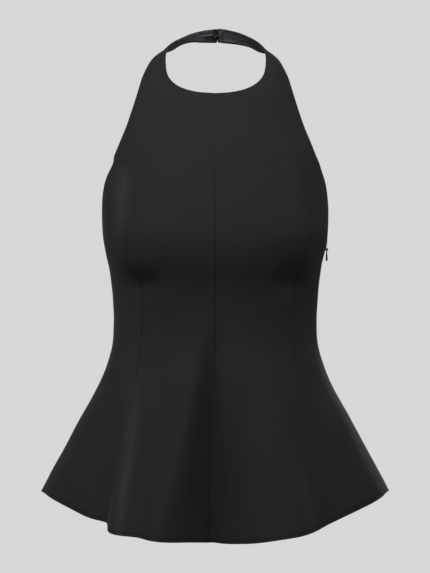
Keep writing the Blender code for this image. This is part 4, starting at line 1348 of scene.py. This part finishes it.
def build_zip(metal, tape, coil_finish, tree, thread):
    """Both tapes, the closed coil, the slider and its pull tab."""
    for name, towards_back, carrier in (("zip_tape_front", -1, "side_front_left_cloth"),
                                        ("zip_tape_rear", 1, "back_left_cloth")):
        piece, face = make_zip_tape(name, towards_back)
        dress(piece, tape)
        route = face.beside(towards_back < 0, TAPE_STITCH_INSET)
        seam = sew(name + "_stitches", "tape stitch", [route], tree, thread)
    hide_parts("zip_tape")
    drops = np.linspace(*ZIP_CHAIN_DROPS, COIL_POINTS)
    route, outward = zip_surface(0.0 * drops, drops, ZIP_DEPTH + ZIP_TAPE + COIL_UNDER)
    sew("zip_coil", "zip coil", [(route, -outward)], tree, coil_finish)
    slider = refined_copy("zip_slider", "zip_slider_body", SLIDER_SOFTENING)
    dress(slider, metal)
    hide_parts("zip_slider")
    pull = refined_copy("zip_pull", "zip_pull_tab", PULL_SOFTENING)
    dress(pull, metal, "pull")
    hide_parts("zip_pull")


# Sewing rings of the hook and the eye, measured from the closure
RINGS = (
    # name,        along, up, radius, first and last angle of the thread, height of the cloth under it
    ("hook_top",    -3.4,  1.97, 1.35,  80.0,  235.0, 1.9),
    ("hook_foot",   -3.4, -1.97, 1.35, -80.0, -235.0, 1.9),
    ("eye_top",      5.2,  3.10, 1.20,  95.0,  -60.0, 2.6),
    ("eye_foot",     5.2, -3.10, 1.20, -95.0,   60.0, 2.6),
)


def ring_route(along, up, radius, first, last, height):
    """Arc of a sewing ring at the height of the cloth, with the direction towards the neck."""
    neck, arm = strap_edges(STRAP_ROWS[-1], 1)
    upward = (neck - arm) / np.linalg.norm(neck - arm)
    sideways = np.array((1.0, 0.0, 0.0))
    neckward = np.cross(upward, sideways)
    if neckward[1] > 0:
        neckward = -neckward
    middle = 0.5 * (neck + arm) + (CLOSURE_OFFSET + along) * sideways + up * upward + height * neckward
    turns = np.radians(np.linspace(first, last, 24))[:, None]
    route = middle + radius * (np.cos(turns) * sideways + np.sin(turns) * upward)
    return route, np.broadcast_to(neckward, route.shape)


def build_hook_and_eye(metal, tree, thread):
    for node in ("neck_hook", "neck_eye"):
        piece = smooth_wire(node, node + "_wire")
        dress(piece, metal)
        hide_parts(node)
    for name, *place in RINGS:
        sew(name + "_wraps", "ring wrap", [ring_route(*place)], tree, thread)


# ---------------------------------------------------------------------------
# Studio
# ---------------------------------------------------------------------------

CAMERA_DISTANCE = 2.6
EYE_LEVEL = -0.3338
EYE_ASIDE = -0.0003
LENS = 125.65
BACKDROP = (0.68, 0.68, 0.68, 1.0)
BACKDROP_LIGHT = (0.68, 0.68, 0.7, 1.0)
BACKDROP_LIGHT_STRENGTH = 0.1
FLOOR = (0.62, 0.62, 0.62, 1.0)
FLOOR_LEVEL = -1.42
FLOOR_RADIUS = 3.0
MIDDLE = (0.0, -0.058, -0.33)
CHEST = (0.0, -0.1, -0.25)

LIGHTS = (
    # name, place, size, watts, aim
    ("high key", (-0.28, -1.35, 1.0), (0.8, 0.6), 38.0, CHEST),
    ("side key", (-1.6, -0.95, 0.2), (0.5, 1.0), 5.0, MIDDLE),
    ("front fill", (0.5, -2.8, 0.1), (2.0, 1.6), 4.0, MIDDLE),
    ("right rim", (1.6, 0.9, -0.1), (0.8, 1.4), 1.8, MIDDLE),
    ("left rim", (-1.6, 1.1, -0.1), (0.8, 1.4), 0.3, MIDDLE),
    ("right side fill", (1.8, -0.8, 0.25), (0.8, 1.4), 3.2, MIDDLE),
    ("right high fill", (1.1, -1.2, 0.9), (0.8, 0.6), 2.0, CHEST),
    ("rear key", (0.4, 2.4, 0.9), (1.6, 1.2), 34.0, MIDDLE),
)


def area_light(name, place, size, energy, aim):
    data = bpy.data.lights.new(name, "AREA")
    data.shape = "RECTANGLE"
    data.size, data.size_y = size
    data.energy = energy
    light = bpy.data.objects.new(name, data)
    light.location = place
    light.rotation_euler = (Vector(aim) - Vector(place)).to_track_quat("-Z", "Y").to_euler()
    bpy.context.scene.collection.objects.link(light)


def build_world():
    """An even pale backdrop; what lights the cloth from it is weaker than what the eye sees."""
    world = bpy.data.worlds.new("studio")
    world.use_nodes = True
    bpy.context.scene.world = world
    tree = Tree(world.node_tree)
    world.node_tree.nodes.clear()
    seen = tree.node("ShaderNodeBackground", None, {"Color": BACKDROP, "Strength": 1.0})
    weaker = {"Color": BACKDROP_LIGHT, "Strength": BACKDROP_LIGHT_STRENGTH}
    lighting = tree.node("ShaderNodeBackground", None, weaker)
    direct = tree.node("ShaderNodeLightPath", output="Is Camera Ray")
    shown = tree.node("ShaderNodeMixShader", None, {0: direct, 1: lighting, 2: seen})
    tree.node("ShaderNodeOutputWorld", None, {"Surface": shown})


def build_floor():
    mesh = bmesh.new()
    bmesh.ops.create_circle(mesh, cap_ends=True, radius=FLOOR_RADIUS, segments=96)
    data = bpy.data.meshes.new("floor")
    mesh.to_mesh(data)
    mesh.free()
    floor = bpy.data.objects.new("floor", data)
    floor.location = (0.0, 0.0, FLOOR_LEVEL)
    bpy.context.scene.collection.objects.link(floor)
    material = bpy.data.materials.new("pale floor")
    material.use_nodes = True
    shader = material.node_tree.nodes["Principled BSDF"]
    shader.inputs["Base Color"].default_value = FLOOR
    shader.inputs["Roughness"].default_value = 0.9
    data.materials.append(material)


def build_studio():
    bpy.context.scene.view_settings.view_transform = "Standard"
    data = bpy.data.cameras.new("camera")
    data.lens = LENS
    data.sensor_width = 36.0
    camera = bpy.data.objects.new("camera", data)
    camera.location = (EYE_ASIDE, MIDDLE[1] - CAMERA_DISTANCE, EYE_LEVEL)
    camera.rotation_euler = (math.radians(90.0), 0.0, 0.0)
    bpy.context.scene.collection.objects.link(camera)
    bpy.context.scene.camera = camera
    build_world()
    build_floor()
    for light in LIGHTS:
        area_light(*light)


front_crepe = crepe("black crepe", BODICE_BLACK, PEPLUM_BLACK)
side_crepe = crepe("side panel crepe", SIDE_BLACK, PEPLUM_BLACK)
build_studio()
metal = lacquer("black lacquer")
thread = thread_finish("sewing thread", "crepe", 0.75)
threads = stitch_tree()
build_cloth(front_crepe, side_crepe, satin("black satin"), threads, thread)
build_zip(metal, tape_finish("zip tape"), thread_finish("zip coil", "zip tape", 0.4), threads, thread)
build_hook_and_eye(metal, threads, thread)
